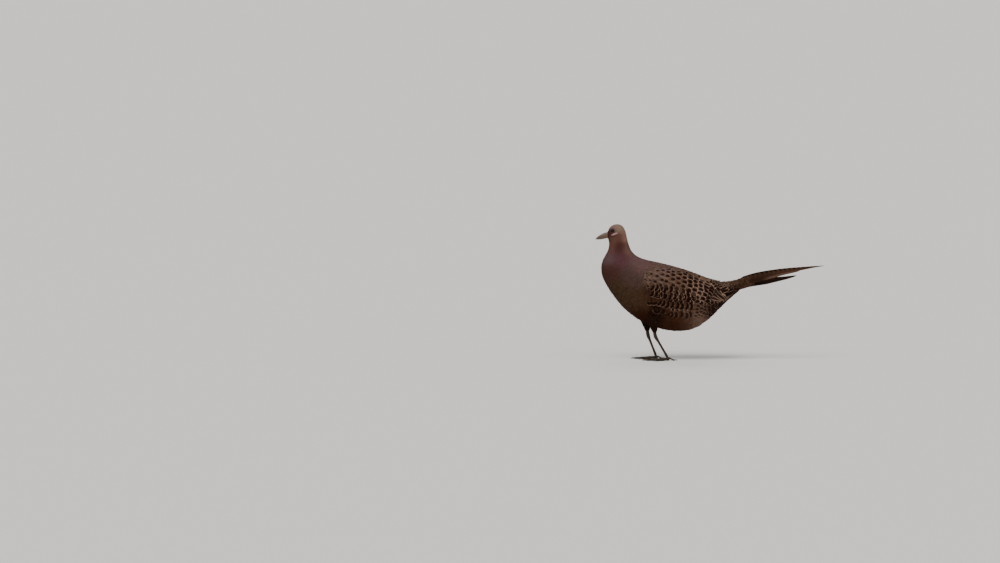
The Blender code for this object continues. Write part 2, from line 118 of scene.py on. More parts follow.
def spline(rows, t):
    """A smooth curve through the rows, with t from 0 at the first row to 1 at the last."""
    rows = np.asarray(rows, float)
    n = len(rows) - 1
    x = np.clip(np.asarray(t, float), 0, 1) * n
    i = np.clip(x.astype(int), 0, n - 1)
    f = (x - i)[..., None]
    p0, p1, p2, p3 = rows[np.maximum(i - 1, 0)], rows[i], rows[i + 1], rows[np.minimum(i + 2, n)]
    m1, m2 = (p2 - p0) / 2, (p3 - p1) / 2
    m1 = np.where((i == 0)[..., None], p2 - p1, m1)
    m2 = np.where((i == n - 1)[..., None], p2 - p1, m2)
    f2, f3 = f * f, f * f * f
    return (2 * f3 - 3 * f2 + 1) * p1 + (f3 - 2 * f2 + f) * m1 + (3 * f2 - 2 * f3) * p2 + (f3 - f2) * m2


def place(name):
    return NAMES.index(name) / (len(NAMES) - 1)


def body(u, a):
    """The feathered outline: u from the bill's base to the tail, a from the back (0) down her left side."""
    s = spline(TABLE, u)
    ca, sa = np.cos(a), np.sin(a)
    mid, half = (s[..., 0:2] + s[..., 2:4]) / 2, (s[..., 0:2] - s[..., 2:4]) / 2
    x = mid[..., 0] + half[..., 0] * ca
    z = mid[..., 1] + half[..., 1] * ca
    y = -s[..., 4] * np.sign(sa) * np.abs(sa) ** s[..., 5] * (1 + s[..., 6] * ca)
    return np.stack([x, y, z], -1)


def tail(s, v, sign, inward=0.0):
    """The tented tail: s from root to tip, v from the ridge (0) to the lower edge (1), inward from its upper face."""
    s, v = np.broadcast_arrays(np.asarray(s, float), np.asarray(v, float))
    xz = spline(RIDGE, s)
    drop, spread = spline(TENT_DROP, s)[..., 0], spline(TENT_SPREAD, s)[..., 0]
    w = np.abs(v)
    flip = np.where(v < 0, -1.0, 1.0) * sign
    y = flip * spread * w ** 0.92
    z = xz[..., 1] - drop * w ** 1.12
    out = np.stack([xz[..., 0], y, z], -1)
    normal = np.stack([np.full_like(y, -0.10), flip * drop * np.minimum(1, 0.35 + w), spread], -1)
    normal /= np.linalg.norm(normal, axis=-1, keepdims=True)
    return out - normal * np.asarray(inward, float)[..., None] if np.ndim(inward) else out - normal * inward


def unit(v):
    return v / np.maximum(np.linalg.norm(v, axis=-1, keepdims=True), 1e-9)


def step(lo, hi, x):
    t = np.clip((x - lo) / (hi - lo), 0, 1)
    return t * t * (3 - 2 * t)


def photo_xy(p):
    """Side-view place in units of 2.3 mm, which the markings are laid out in."""
    return 662 + p[..., 0] / 2.3, 360 - p[..., 2] / 2.3


# ---------------------------------------------------------------- meshes
def raw_mesh(name, verts, polys):
    mesh = bpy.data.meshes.new(name)
    mesh.from_pydata(np.asarray(verts).tolist(), [], [tuple(int(i) for i in f) for f in polys])
    return mesh


def add_object(name, mesh):
    obj = bpy.data.objects.new(name, mesh)
    bpy.context.scene.collection.objects.link(obj)
    return obj


def arrays(mesh):
    n = len(mesh.vertices)
    co = np.empty(n * 3)
    mesh.vertices.foreach_get("co", co)
    total = np.empty(len(mesh.polygons), int)
    mesh.polygons.foreach_get("loop_total", total)
    loops = np.empty(len(mesh.loops), int)
    mesh.loops.foreach_get("vertex_index", loops)
    start = np.concatenate([[0], np.cumsum(total)[:-1]])
    if (total == 4).all():
        return co.reshape(-1, 3), loops.reshape(-1, 4)
    return co.reshape(-1, 3), [loops[s : s + t] for s, t in zip(start, total)]


def remesh(shells, voxel, smooth=0, factor=0.5):
    """One closed mesh round all the shells. Each shell is (points, faces) in millimetres."""
    verts, faces, off = [], [], 0
    for p, f in shells:
        verts.append(np.asarray(p, float))
        faces += [tuple(int(i) + off for i in q) for q in f]
        off += len(p)
    mesh = raw_mesh("shells", np.concatenate(verts), faces)
    obj = add_object("shells", mesh)
    mod = obj.modifiers.new("remesh", "REMESH")
    mod.mode, mod.voxel_size, mod.adaptivity = "VOXEL", voxel, 0.0
    if smooth:
        mod = obj.modifiers.new("smooth", "SMOOTH")
        mod.factor, mod.iterations = factor, smooth
    made = bpy.data.meshes.new_from_object(obj.evaluated_get(bpy.context.evaluated_depsgraph_get()))
    bpy.data.objects.remove(obj)
    out = arrays(made)
    bpy.data.meshes.remove(made)
    return out


def tube(rings):
    """Points and faces of a closed tube through rings of equal length (n rings, m points), with flat caps."""
    rings = np.asarray(rings, float)
    n, m = rings.shape[:2]
    faces = []
    for i in range(n - 1):
        for j in range(m):
            k = (j + 1) % m
            faces.append((i * m + j, i * m + k, (i + 1) * m + k, (i + 1) * m + j))
    faces.append(tuple(range(m))[::-1])
    faces.append(tuple(range((n - 1) * m, n * m)))
    return rings.reshape(-1, 3), faces


def limb(path, radii, count=16, across=(0.0, 0.0, 1.0), flat=1.0):
    """A round limb along a path, closed by small domes. across is a direction that the path never runs along."""
    path, n = np.asarray(path, float), len(path)
    rings = []
    turn = 2 * math.pi * np.arange(count) / count
    for i, (p, r) in enumerate(zip(path, radii)):
        way = unit(path[min(i + 1, n - 1)] - path[max(i - 1, 0)])
        side = unit(np.cross(way, across))
        up = np.cross(side, way)
        ring = p + r * (np.cos(turn)[:, None] * side + flat * np.sin(turn)[:, None] * up)
        if i == 0:
            rings += [p - way * r * 0.62 + 0.35 * (ring - p), p - way * r * 0.36 + 0.75 * (ring - p)]
        rings.append(ring)
        if i == n - 1:
            rings += [p + way * r * 0.36 + 0.75 * (ring - p), p + way * r * 0.62 + 0.35 * (ring - p)]
    return tube(rings)


def slab(top, low):
    rows, cols = top.shape[:2]
    points = np.concatenate([top.reshape(-1, 3), low.reshape(-1, 3)])
    off, faces = rows * cols, []
    at = lambda i, j: i * cols + j
    for i in range(rows - 1):
        for j in range(cols - 1):
            q = (at(i, j), at(i + 1, j), at(i + 1, j + 1), at(i, j + 1))
            faces.append(q)
            faces.append(tuple(off + k for k in q[::-1]))
    rim = [at(i, 0) for i in range(rows)] + [at(rows - 1, j) for j in range(1, cols)]
    rim += [at(i, cols - 1) for i in range(rows - 2, -1, -1)] + [at(0, j) for j in range(cols - 2, 0, -1)]
    for m, n in zip(rim, rim[1:] + rim[:1]):
        faces.append((m, off + m, off + n, n))
    return points, faces


def normals_of(verts, quads):
    a, b, c, d = (verts[quads[:, k]] for k in range(4))
    n = np.cross(c - a, d - b)
    out = np.zeros_like(verts)
    for k in range(4):
        for j in range(3):
            out[:, j] += np.bincount(quads[:, k], n[:, j], len(verts))
    return unit(out)


def smooth_field(field, quads, times):
    count = np.bincount(quads.ravel(), minlength=len(field))
    for _ in range(times):
        mean = field[quads].mean(1)
        out = np.zeros_like(field)
        for k in range(4):
            for j in range(field.shape[1]):
                out[:, j] += np.bincount(quads[:, k], mean[:, j], len(field))
        field = out / count[:, None]
    return field


# ---------------------------------------------------------------- the outline as one surface
BODY_U = np.linspace(0, 1, 300)
BODY_A = np.arange(128) * 2 * math.pi / 128


def body_shell(depth):
    """The body drawn in by depth, a function of u."""
    uu, aa = np.meshgrid(BODY_U, BODY_A, indexing="ij")
    p = body(uu, aa)
    if depth is not None:
        e = 1e-3
        du = body(np.clip(uu + e, 0, 1), aa) - body(np.clip(uu - e, 0, 1), aa)
        da = body(uu, aa + 0.02) - body(uu, aa - 0.02)
        n = unit(np.cross(du, da))
        centre = p.mean(1, keepdims=True)
        n *= np.sign((n * (p - centre)).sum(-1, keepdims=True))
        p = p - n * depth(uu)[..., None]
    return tube(p)


body_tree = BVHTree.FromPolygons(*[x.tolist() if isinstance(x, np.ndarray) else x for x in body_shell(None)])
WT = np.linspace(0, 1, 90)
WQ = np.linspace(-1, 1, 40)


def wing_surface(sign):
    """The folded wing's outer face over the body's side: points and outward normals, by place along and across it."""
    top, low = spline(WING_TOP, WT), spline(WING_LOW, WT)
    f = ((WQ + 1) / 2)[None, :, None]
    xz = low[:, None] * (1 - f) + top[:, None] * f
    base, normal = np.zeros((len(WT), len(WQ), 3)), np.zeros((len(WT), len(WQ), 3))
    for i in range(len(WT)):
        for j in range(len(WQ)):
            x, z = xz[i, j]
            hit, n, _, _ = body_tree.ray_cast(Vector((x, sign * 200.0, z)), Vector((0, -sign, 0)))
            if hit is None:
                near, n, _, _ = body_tree.find_nearest(Vector((x, sign * 30.0, z)))
                hit = Vector((x, near.y, z))
            n = np.array(n)
            base[i, j], normal[i, j] = hit, n if n[1] * sign > 0 else -n
    thick = spline(WING_THICK, WT)[:, None]
    rim = (1 - np.abs(WQ)[None] ** 2.4) * np.minimum(1, 6 * WT + 0.12)[:, None] * np.minimum(1, 5 * (1 - WT) + 0.15)[:, None]
    return base, normal, thick[..., 0] * rim


wings = {sign: wing_surface(sign) for sign in (-1, 1)}
# how far the wing's feathers stand off it: its front edge lies down into the breast
WING_OUT = (2.1 - 2.7 * step(0.15, 0.0, WT))[:, None]


def wing_shell(sign, out, sink):
    base, normal, swell = wings[sign]
    return slab(base + normal * (out + swell)[..., None], base - normal * sink)


def leg_points(leg):
    return {k: np.array([leg[k][0], leg["side"] * leg[k][1], leg[k][2]]) for k in ("hip", "knee", "hock", "ball")}


def thigh_path(leg, count=14):
    p = leg_points(leg)
    rows = [p["hip"], p["knee"], p["knee"] * 0.45 + p["hock"] * 0.55 + (0, 0, 1.0), p["hock"] + (p["knee"] - p["hock"]) * 0.26]
    ts = np.linspace(0, 1, count)
    return spline(rows, ts), spline(THIGH_R, ts)[:, 0]


def tail_shell():
    ss = np.linspace(0, 1, 60)
    vs = np.linspace(-1, 1, 21)
    lower = np.interp(ss, (0, 0.42, 0.60, 0.72, 0.80, 0.84, 1.0), (1.0, 1.0, 0.92, 0.8, 0.6, 0.42, 0.16))
    top = np.stack([tail(s, vs * w, 1) for s, w in zip(ss, lower)])
    low = np.stack([tail(s, vs * w, 1, inward=np.full(21, 4.0)) for s, w in zip(ss, lower)])
    low[..., 2] -= 1.0
    return slab(top, low)


def depth_of(u):
    """How deep the skin lies under the outline."""
    marks = [place(n) for n in ("face", "brow", "nape", "neck_mid", "mantle", "breast", "belly", "rump", "coverts", "tail_cap")]
    return np.interp(u, marks, (0.9, 1.1, 2.0, 3.0, 4.2, 5.5, 6.0, 5.5, 5.0, 4.0))


shells = [body_shell(None), tail_shell()]
shells += [wing_shell(sign, WING_OUT, 3.0) for sign in (-1, 1)]
shells += [limb(*thigh_path(leg), count=24, across=(0, 1, 0)) for leg in LEGS.values()]
OUT_V, OUT_F = remesh(shells, 1.3, smooth=5)
OUT_N = smooth_field(normals_of(OUT_V, OUT_F), OUT_F, 2)
OUT_N = unit(OUT_N)


class Surface:
    """The outline, with the way that feathers lie on it."""

    def __init__(self):
        self.tree = BVHTree.FromPolygons(OUT_V.tolist(), OUT_F.tolist())
        samples, ways, places = [], [], []
        uu, aa = np.meshgrid(np.linspace(0.002, 0.998, 200), np.arange(72) * 2 * math.pi / 72, indexing="ij")
        p = body(uu, aa)
        d = body(uu + 0.002, aa) - body(uu - 0.002, aa)
        samples.append(p.reshape(-1, 3)), ways.append(d.reshape(-1, 3))
        places.append(np.stack([uu.ravel(), aa.ravel(), np.zeros(uu.size)], -1))
        for sign in (-1, 1):
            base, normal, swell = wings[sign]
            p = base + normal * (WING_OUT + swell)[..., None]
            d = np.gradient(p, axis=0)
            t, q = np.meshgrid(WT, WQ, indexing="ij")
            samples.append(p.reshape(-1, 3)), ways.append(d.reshape(-1, 3))
            places.append(np.stack([t.ravel(), q.ravel(), np.full(t.size, 1.0)], -1))
        for leg in LEGS.values():
            path, radii = thigh_path(leg, 30)
            d = np.gradient(path, axis=0)
            turn = np.arange(24) * 2 * math.pi / 24
            side = unit(np.cross(unit(d), (0, 1, 0)))
            up = np.cross(side, unit(d))
            ring = path[:, None] + radii[:, None, None] * (np.cos(turn)[None, :, None] * side[:, None] + np.sin(turn)[None, :, None] * up[:, None])
            samples.append(ring.reshape(-1, 3)), ways.append(np.repeat(d, 24, 0))
            t, q = np.meshgrid(np.linspace(0, 1, 30), turn, indexing="ij")
            places.append(np.stack([t.ravel(), q.ravel(), np.full(t.size, 2.0)], -1))
        ss, vs = np.meshgrid(np.linspace(0, 1, 80), np.linspace(-1, 1, 25), indexing="ij")
        p = tail(ss, vs, 1)
        samples.append(p.reshape(-1, 3)), ways.append(np.gradient(p, axis=0).reshape(-1, 3))
        places.append(np.stack([ss.ravel(), vs.ravel(), np.full(ss.size, 3.0)], -1))
        samples, ways, places = np.concatenate(samples), unit(np.concatenate(ways)), np.concatenate(places)
        kd = KDTree(len(samples))
        for i, p in enumerate(samples.tolist()):
            kd.insert(p, i)
        kd.balance()
        near = np.array([kd.find(p)[1] for p in OUT_V.tolist()])
        self.way, self.place = smooth_field(ways[near], OUT_F, 5), places[near]
        self.way -= OUT_N * (self.way * OUT_N).sum(-1, keepdims=True)
        self.way = unit(self.way)

    def project(self, points):
        """Nearest points on the outline, the smooth normals there and the way feathers lie."""
        flat = points.reshape(-1, 3)
        near, index = np.empty_like(flat), np.empty(len(flat), int)
        find = self.tree.find_nearest
        for i, p in enumerate(flat.tolist()):
            co, _, k, _ = find(p)
            near[i], index[i] = co, k
        quad = OUT_F[index]
        w = 1 / (((OUT_V[quad] - near[:, None]) ** 2).sum(-1) + 0.02)
        w /= w.sum(1, keepdims=True)
        normal = unit((OUT_N[quad] * w[..., None]).sum(1))
        way = (self.way[quad] * w[..., None]).sum(1)
        way = unit(way - normal * (way * normal).sum(-1, keepdims=True))
        kind = self.place[quad[:, 0]]
        shape = points.shape
        return near.reshape(shape), normal.reshape(shape), way.reshape(shape), kind.reshape(shape)


surface = Surface()


# ---------------------------------------------------------------- colours
def linear(rgb):
    c = np.asarray(rgb, float) / 255
    return np.where(c <= 0.04045, c / 12.92, ((c + 0.055) / 1.055) ** 2.4)


# Named tones: side-view place, how far it reaches, and the plumage's ground colour there; the underside's tones
# (fore_belly, thigh, belly, drumstick, under_tail) are painted shade, far darker than her own buff underparts
TONES = {
    "forehead": (611.8, 225.8, 3.4, (120, 93, 90)),
    "crown": (619.5, 226.0, 5.0, (124, 106, 91)),
    "lores": (609.0, 233.5, 3.0, (66, 38, 35)),
    "eye_patch": (611.0, 231.0, 3.0, (54, 27, 29)),
    "cheek": (614.0, 238.0, 4.0, (92, 65, 57)),
    "ear": (620.0, 236.0, 3.5, (84, 51, 43)),
    "hindhead": (626.0, 235.0, 4.0, (138, 107, 95)),
    "chin": (609.0, 240.0, 3.0, (88, 60, 48)),
    "throat": (610.0, 247.0, 4.0, (92, 63, 56)),
    "collar": (619.5, 247.0, 4.5, (67, 39, 35)),
    "hindneck": (628.5, 248.0, 4.0, (106, 79, 70)),
    "foreneck": (608.0, 258.0, 5.0, (86, 66, 67)),
    "neck": (620.0, 258.0, 6.0, (80, 51, 55)),
    "mantle_front": (640.0, 261.0, 8.0, (92, 68, 67)),
    "mantle": (662.0, 265.0, 8.0, (90, 68, 63)),
    "upper_breast": (610.0, 271.0, 7.0, (65, 40, 36)),
    "breast_side": (630.0, 274.0, 8.0, (69, 52, 48)),
    "mid_breast": (618.0, 288.0, 8.0, (60, 45, 32)),
    "low_breast": (634.0, 300.0, 9.0, (62, 44, 31)),
    # painted shade: the front of the belly is darkened as the shade under her body
    "fore_belly": (638.0, 314.0, 6.0, (43, 20, 8)),
    "wing_front": (655.0, 273.0, 9.0, (82, 64, 55)),
    "wing_middle": (680.0, 283.0, 9.0, (75, 54, 43)),
    "wing_rear": (708.0, 291.0, 8.0, (106, 82, 72)),
    "flank_front": (655.0, 294.0, 8.0, (54, 32, 23)),
    "flank_rear": (682.0, 306.0, 8.0, (60, 36, 26)),
    # painted shade: the thighs and belly are painted near black as the shade under her body
    "thigh": (656.0, 315.5, 5.5, (21, 8, 4)),
    "belly": (668.0, 324.0, 7.0, (52, 26, 14)),
    "hind_belly": (684.0, 323.0, 5.5, (64, 40, 28)),
    # painted shade: the drumsticks are painted near black as the shade under her body
    "drumstick": (648.0, 330.0, 6.0, (22, 10, 6)),
    "flank_low": (691.0, 309.0, 5.0, (84, 62, 50)),
    "vent": (697.0, 321.0, 6.5, (103, 80, 69)),
    # painted shade: darkened as the shade under the tail
    "under_tail": (716.0, 309.0, 7.0, (30, 11, 5)),
    "rump": (712.0, 279.0, 6.0, (96, 76, 60)),
    "tail_coverts": (728.0, 282.5, 6.0, (65, 46, 35)),
    "tail_base": (746.0, 278.5, 6.0, (60, 39, 27)),
    "low_coverts": (747.0, 287.0, 5.0, (54, 38, 24)),
    "side_coverts": (724.5, 292.0, 5.5, (22, 8, 4)),
}
TONE_AT = np.array([v[:2] for v in TONES.values()])
TONE_R = np.array([v[2] for v in TONES.values()])
TONE_RGB = np.array([linear(v[3]) for v in TONES.values()])


def ground_and_painted_shade(p):
    """The plumage's ground colour at points of her outline, the same on both sides, with the painted shade of her
    underside.
    """
    x, y = photo_xy(p)
    d2 = (x[..., None] - TONE_AT[:, 0]) ** 2 + (y[..., None] - TONE_AT[:, 1]) ** 2
    w = np.exp(-d2 / (1.15 * TONE_R) ** 2) + 1e-4 / (1 + d2)
    c = (w[..., None] * TONE_RGB).sum(-2) / w.sum(-1)[..., None]
    # the pale streak under the eye
    along = (x - 614.2) * 0.94 - (y - 233.6) * 0.35
    over = (x - 614.2) * 0.35 + (y - 233.6) * 0.94
    streak = np.exp(-((along / 3.0) ** 4) - ((over / 0.62) ** 2))
    under = np.exp(-((along / 3.4) ** 4) - (((over - 1.7) / 0.7) ** 2))
    c = c * (1 - 0.35 * under)[..., None]
    return c + (linear((190, 152, 149)) - c) * (0.95 * streak)[..., None]


def inside(x, lo, hi, soft):
    return step(lo - soft, lo + soft, x) * (1 - step(hi - soft, hi + soft, x))


def pattern(p, y_up):
    """Strengths of the marks on feathers whose ends lie at p: centre spot, pale edge and cross bar, with the spot's shape.
    y_up is how far the surface there faces up."""
    x, y = photo_xy(p)
    n = len(x)
    spots = inside(x, 641, 694, 3) * inside(y, 266.5, 289, 2)
    net = inside(x, 684, 726, 4) * inside(y, 266, 303, 2)
    line = np.interp(x, (645, 652, 668, 690, 700), (296, 285, 285.5, 291, 297))
    bars = inside(x, 649, 694, 2.5) * step(line - 1.5, line + 1.5, y) * (1 - step(313, 318, y))
    back = inside(x, 668, 700, 4) * step(0.45, 0.75, y_up) * (y < 285)
    rump = inside(x, 700, 742, 4) * (1 - step(283, 287, y))
    side = inside(x, 703, 745, 4) * step(283, 287, y) * (1 - step(298, 303, y))
    low = inside(x, 692, 730, 4) * step(300, 304, y) * (1 - step(314, 320, y))
    vent = inside(x, 690, 712, 3) * step(312, 318, y)
    quiet = 1 - np.clip(spots + net + bars + back + rump + side + low + vent, 0, 1)
    spot = np.clip(0.95 * spots * (1 - bars) + 0.97 * net + 0.5 * back + 0.35 * rump + 0.95 * side + 0.85 * low + 0.15 * vent + 0.04 * quiet, 0, 1)
    edge = np.clip(0.40 * spots + 1.0 * net + 0.6 * back + 0.3 * rump + 0.22 * side + 0.28 * low + 0.8 * bars + 0.05 * quiet, 0, 1)
    bar = np.clip(bars, 0, 1)
    spot *= 1 - bar
    form = np.stack([
        0.80 - 0.04 * net,
        0.17 - 0.01 * net + 0.05 * rump + 0.14 * side,
        0.32 + 0.16 * net + 0.24 * side + 0.12 * low + 0.1 * back,
    ], -1)
    return spot, edge, bar, form


# ---------------------------------------------------------------- feathers
class Coat:
    """Closed vanes gathered into one piece."""

    def __init__(self, name):
        self.name, self.count = name, 0
        self.parts = {k: [] for k in ("co", "vane", "tone", "mark", "form", "bars", "uv")}
        self.loops, self.totals = [], []

    def add(self, co, polys, **more):
        """co is (feathers, points, 3); polys are lists of point numbers in one feather; the rest is per point."""
        n, m = co.shape[:2]
        base = self.count + np.arange(n) * m
        for f in polys:
            block = base[:, None] + np.asarray(f)[None]
            self.loops.append(block.ravel())
            self.totals.append(np.full(n, len(f)))
        self.parts["co"].append(co.reshape(-1, 3))
        for k, v in more.items():
            v = np.broadcast_to(v, (n, m, v.shape[-1]))
            self.parts[k].append(v.reshape(n * m, -1))
        self.count += n * m

    def triangles(self):
        return int(sum((t - 2).sum() for t in self.totals))

    def finish(self, material, sharp=True):
        co = np.concatenate(self.parts["co"])
        world = (co - (ORIGIN_X, 0, 0)) * MM
        loops, totals = np.concatenate(self.loops), np.concatenate(self.totals)
        mesh = bpy.data.meshes.new(self.name)
        mesh.vertices.add(len(world))
        mesh.vertices.foreach_set("co", world.astype(np.float32).ravel())
        mesh.loops.add(len(loops))
        mesh.loops.foreach_set("vertex_index", loops.astype(np.int32))
        mesh.polygons.add(len(totals))
        start = np.concatenate([[0], np.cumsum(totals)[:-1]])
        mesh.polygons.foreach_set("loop_start", start.astype(np.int32))
        mesh.polygons.foreach_set("loop_total", totals.astype(np.int32))
        mesh.update(calc_edges=True)
        for key, kind, width in (("vane", "FLOAT_VECTOR", 3), ("tone", "FLOAT_COLOR", 4), ("mark", "FLOAT_COLOR", 4), ("form", "FLOAT_VECTOR", 3), ("bars", "FLOAT_VECTOR", 3)):
            data = np.concatenate(self.parts[key]).astype(np.float32)
            field = "color" if kind == "FLOAT_COLOR" else "vector"
            mesh.attributes.new(key, kind, "POINT").data.foreach_set(field, data.ravel())
        uv = np.concatenate(self.parts["uv"])[loops].astype(np.float32)
        mesh.uv_layers.new(name="OFBake").uv.foreach_set("vector", uv.ravel())
        mesh.shade_smooth()
        if sharp:
            mesh.set_sharp_from_angle(angle=math.radians(70))
        obj = add_object(self.name, mesh)
        mesh.materials.append(material)
        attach(obj, "root")
        return obj


def vane_polys(ns, nc):
    """Faces of a closed vane: ns stations of nc upper points and one lower point."""
    m, polys = nc + 1, []
    for i in range(ns - 1):
        a, b = i * m, (i + 1) * m
        for j in range(nc - 1):
            polys.append((a + j, a + j + 1, b + j + 1, b + j))
        polys.append((a + nc - 1, a + nc, b + nc, b + nc - 1))
        polys.append((a + nc, a, b, b + nc))
    polys.append(tuple(range(nc, -1, -1)))
    last = (ns - 1) * m
    polys.append(tuple(last + k for k in range(nc + 1)))
    return polys


SHAPES = {
    # stations along the vane, and half widths there as a share of the widest
    "round": ((0.0, 0.22, 0.42, 0.60, 0.74, 0.85, 0.93, 0.98, 1.0), (0.34, 0.70, 0.93, 1.0, 0.97, 0.85, 0.64, 0.38, 0.14)),
    "soft": ((0.0, 0.25, 0.48, 0.68, 0.84, 0.95, 1.0), (0.36, 0.76, 0.97, 1.0, 0.86, 0.52, 0.16)),
    "small": ((0.0, 0.40, 0.72, 0.90, 1.0), (0.50, 1.0, 0.95, 0.62, 0.16)),
    "long": ((0.0, 0.12, 0.25, 0.38, 0.50, 0.62, 0.73, 0.83, 0.91, 0.965, 1.0), (0.30, 0.55, 0.78, 0.92, 1.0, 1.0, 0.94, 0.80, 0.58, 0.32, 0.07)),
}


def lay(coat, root, way, length, width, shape, cols, depth, lift, uv, uv_size, tone, mark, form, bars,
        camber=0.16, roll=0.05, ragged=0.02, thick=0.3, fringe=0, fringe_len=3.0, follow=0.35, drape=True, bow=0.06):
    """Lays feathers on the outline. root and way are (n, 3); the sizes are millimetres, one for each feather.

    Each centre line is walked along the outline from under the coat to its tip, and the vane is spread to each side."""
    n = len(root)
    if not n:
        return None
    per = lambda v: np.broadcast_to(np.asarray(v, float), (n,)).copy()
    length, width, depth, lift, roll, camber, thick = (per(v) for v in (length, width, depth, lift, roll, camber, thick))
    stations, share = (np.array(v) for v in SHAPES[shape])
    ns, ts = len(stations), np.linspace(-1, 1, cols)
    p, d = root.copy(), unit(way)
    centre, normal, along = [], [], []
    last = 0.0
    for s in stations:
        p = p + d * ((s - last) * length)[:, None]
        last = s
        p, nrm, flow, _ = surface.project(p)
        d = d - nrm * (d * nrm).sum(-1, keepdims=True)
        d = unit(unit(d) * (1 - follow * 0.3) + flow * follow * 0.3)
        centre.append(p), normal.append(nrm), along.append(d)
    centre, normal, along = (np.stack(v, 1) for v in (centre, normal, along))
    side = unit(np.cross(normal, along))
    half = 0.5 * width[:, None] * share[None]
    across = ts[None, None, :] * half[..., None]
    spread = centre[:, :, None] + side[:, :, None] * across[..., None]
    spread = spread - along[:, :, None] * (bow * np.abs(ts) ** 1.6 * width[:, None, None])[..., None]
    if drape:
        spread, nrm, _, _ = surface.project(spread)
    else:
        nrm = np.broadcast_to(normal[:, :, None], spread.shape)
    jitter = rng.uniform(-1, 1, (n, ns, cols)) * ragged * length[:, None, None] * step(0.7, 1.0, stations)[None, :, None]
    spread = spread + along[:, :, None] * jitter[..., None]
    rise = -depth[:, None] * (1 - stations) ** 1.1 + lift[:, None] * stations ** 1.5
    high = rise[..., None] - camber[:, None, None] * half[..., None] * ts[None, None] ** 2 + roll[:, None, None] * across
    top = spread + nrm * high[..., None]
    mid = cols // 2
    under = top[:, :, mid] - nrm[:, :, mid] * (thick[:, None] * (1.1 - 0.75 * stations[None]) + camber[:, None] * half * 0.35)[..., None]
    co = np.concatenate([top, under[:, :, None]], 2).reshape(n, -1, 3)
    off = np.where(np.arange(ns) == ns - 1, 0.03, -0.03)
    s_grid = np.broadcast_to(stations[None, :, None], (n, ns, cols + 1)) + np.concatenate([jitter / np.maximum(length, 1e-6)[:, None, None], np.broadcast_to(off[None, :, None], (n, ns, 1))], 2)
    t_grid = np.broadcast_to(np.append(ts, 0.0)[None, None], (n, ns, cols + 1))
    dice = rng.uniform(0, 1, n)
    vane = np.stack([s_grid, t_grid, np.broadcast_to(dice[:, None, None], s_grid.shape)], -1).reshape(n, -1, 3)
    t_uv = t_grid * share[None, :, None]
    patch = np.stack([uv[:, 0, None, None] + 0.45 * uv_size[:, 0, None, None] * t_uv, uv[:, 1, None, None] + uv_size[:, 1, None, None] * 0.9 * (s_grid - 0.5)], -1).reshape(n, -1, 2)
    tone4 = np.concatenate([tone, np.ones((n, 1))], 1)[:, None]
    coat.add(co, vane_polys(ns, cols), vane=vane, tone=tone4, mark=mark[:, None], form=form[:, None], bars=bars[:, None], uv=patch)
    if fringe:
        add_fringe(coat, fringe, fringe_len, top, along, side, nrm, stations, ts, half, width, length, dice, uv, uv_size, share, tone4, mark, form, bars)
    return centre[:, -1]


def add_fringe(coat, count, reach, top, along, side, nrm, stations, ts, half, width, length, dice, uv, uv_size, share, tone4, mark, form, bars):
    """Loose barbs round a vane's end: thin closed slivers that carry the vane's colours."""
    n, cols = len(top), len(ts)
    for k in range(count):
        # places round the rim: up one edge, over the tip and down the other
        f = (k + rng.uniform(0.15, 0.85, n)) / count * 2 - 1
        t = np.clip(f * 1.25, -1, 1)
        s = 1 - 0.42 * np.abs(f) ** 2.2 - 0.03
        col = (t + 1) / 2 * (cols - 1)
        j = np.clip(col.astype(int), 0, cols - 2)
        g = (col - j)[:, None]
        i = np.clip(np.searchsorted(stations, s) - 1, 0, len(stations) - 2)
        h = ((s - stations[i]) / (stations[i + 1] - stations[i]))[:, None]
        r = np.arange(n)
        a = top[r, i, j] * (1 - g) + top[r, i, j + 1] * g
        b = top[r, i + 1, j] * (1 - g) + top[r, i + 1, j + 1] * g
        p = a * (1 - h) + b * h
        up = nrm[r, i, cols // 2]
        d = unit(along[r, i] + side[r, i] * (t * rng.uniform(0.35, 0.75, n))[:, None] + up * rng.uniform(-0.10, 0.04, n)[:, None])
        w = unit(np.cross(up, d))
        size = reach * rng.uniform(0.55, 1.1, n) * (1 - 0.45 * np.abs(f))
        wide = 0.085 * width * rng.uniform(0.6, 1.1, n)
        back = p - d * (0.45 * size)[:, None] - up * 0.08
        co = np.stack([back - w * wide[:, None], back + w * wide[:, None], back - up * 0.16, p + d * size[:, None] - up * 0.10], 1)
        s_v = np.stack([s - 0.05, s - 0.05, s - 0.05, np.minimum(s + 0.06, 1.0)], 1)
        vane = np.stack([s_v, np.broadcast_to(t[:, None] * 0.92, s_v.shape), np.broadcast_to(dice[:, None], s_v.shape)], -1)
        ww = np.interp(s, stations, share)
        u0 = uv[:, 0] + 0.45 * uv_size[:, 0] * t * ww * 0.9
        v0 = uv[:, 1] + uv_size[:, 1] * 0.9 * (s - 0.5)
        e = 0.06 * uv_size
        patch = np.stack([np.stack([u0 - e[:, 0], v0 - e[:, 1]], -1), np.stack([u0 + e[:, 0], v0 - e[:, 1]], -1), np.stack([u0, v0 - 1.8 * e[:, 1]], -1), np.stack([u0, v0 + e[:, 1]], -1)], 1)
        coat.add(co, [(0, 1, 3), (1, 2, 3), (2, 0, 3), (0, 2, 1)], vane=vane, tone=tone4, mark=mark[:, None], form=form[:, None], bars=bars[:, None], uv=patch)


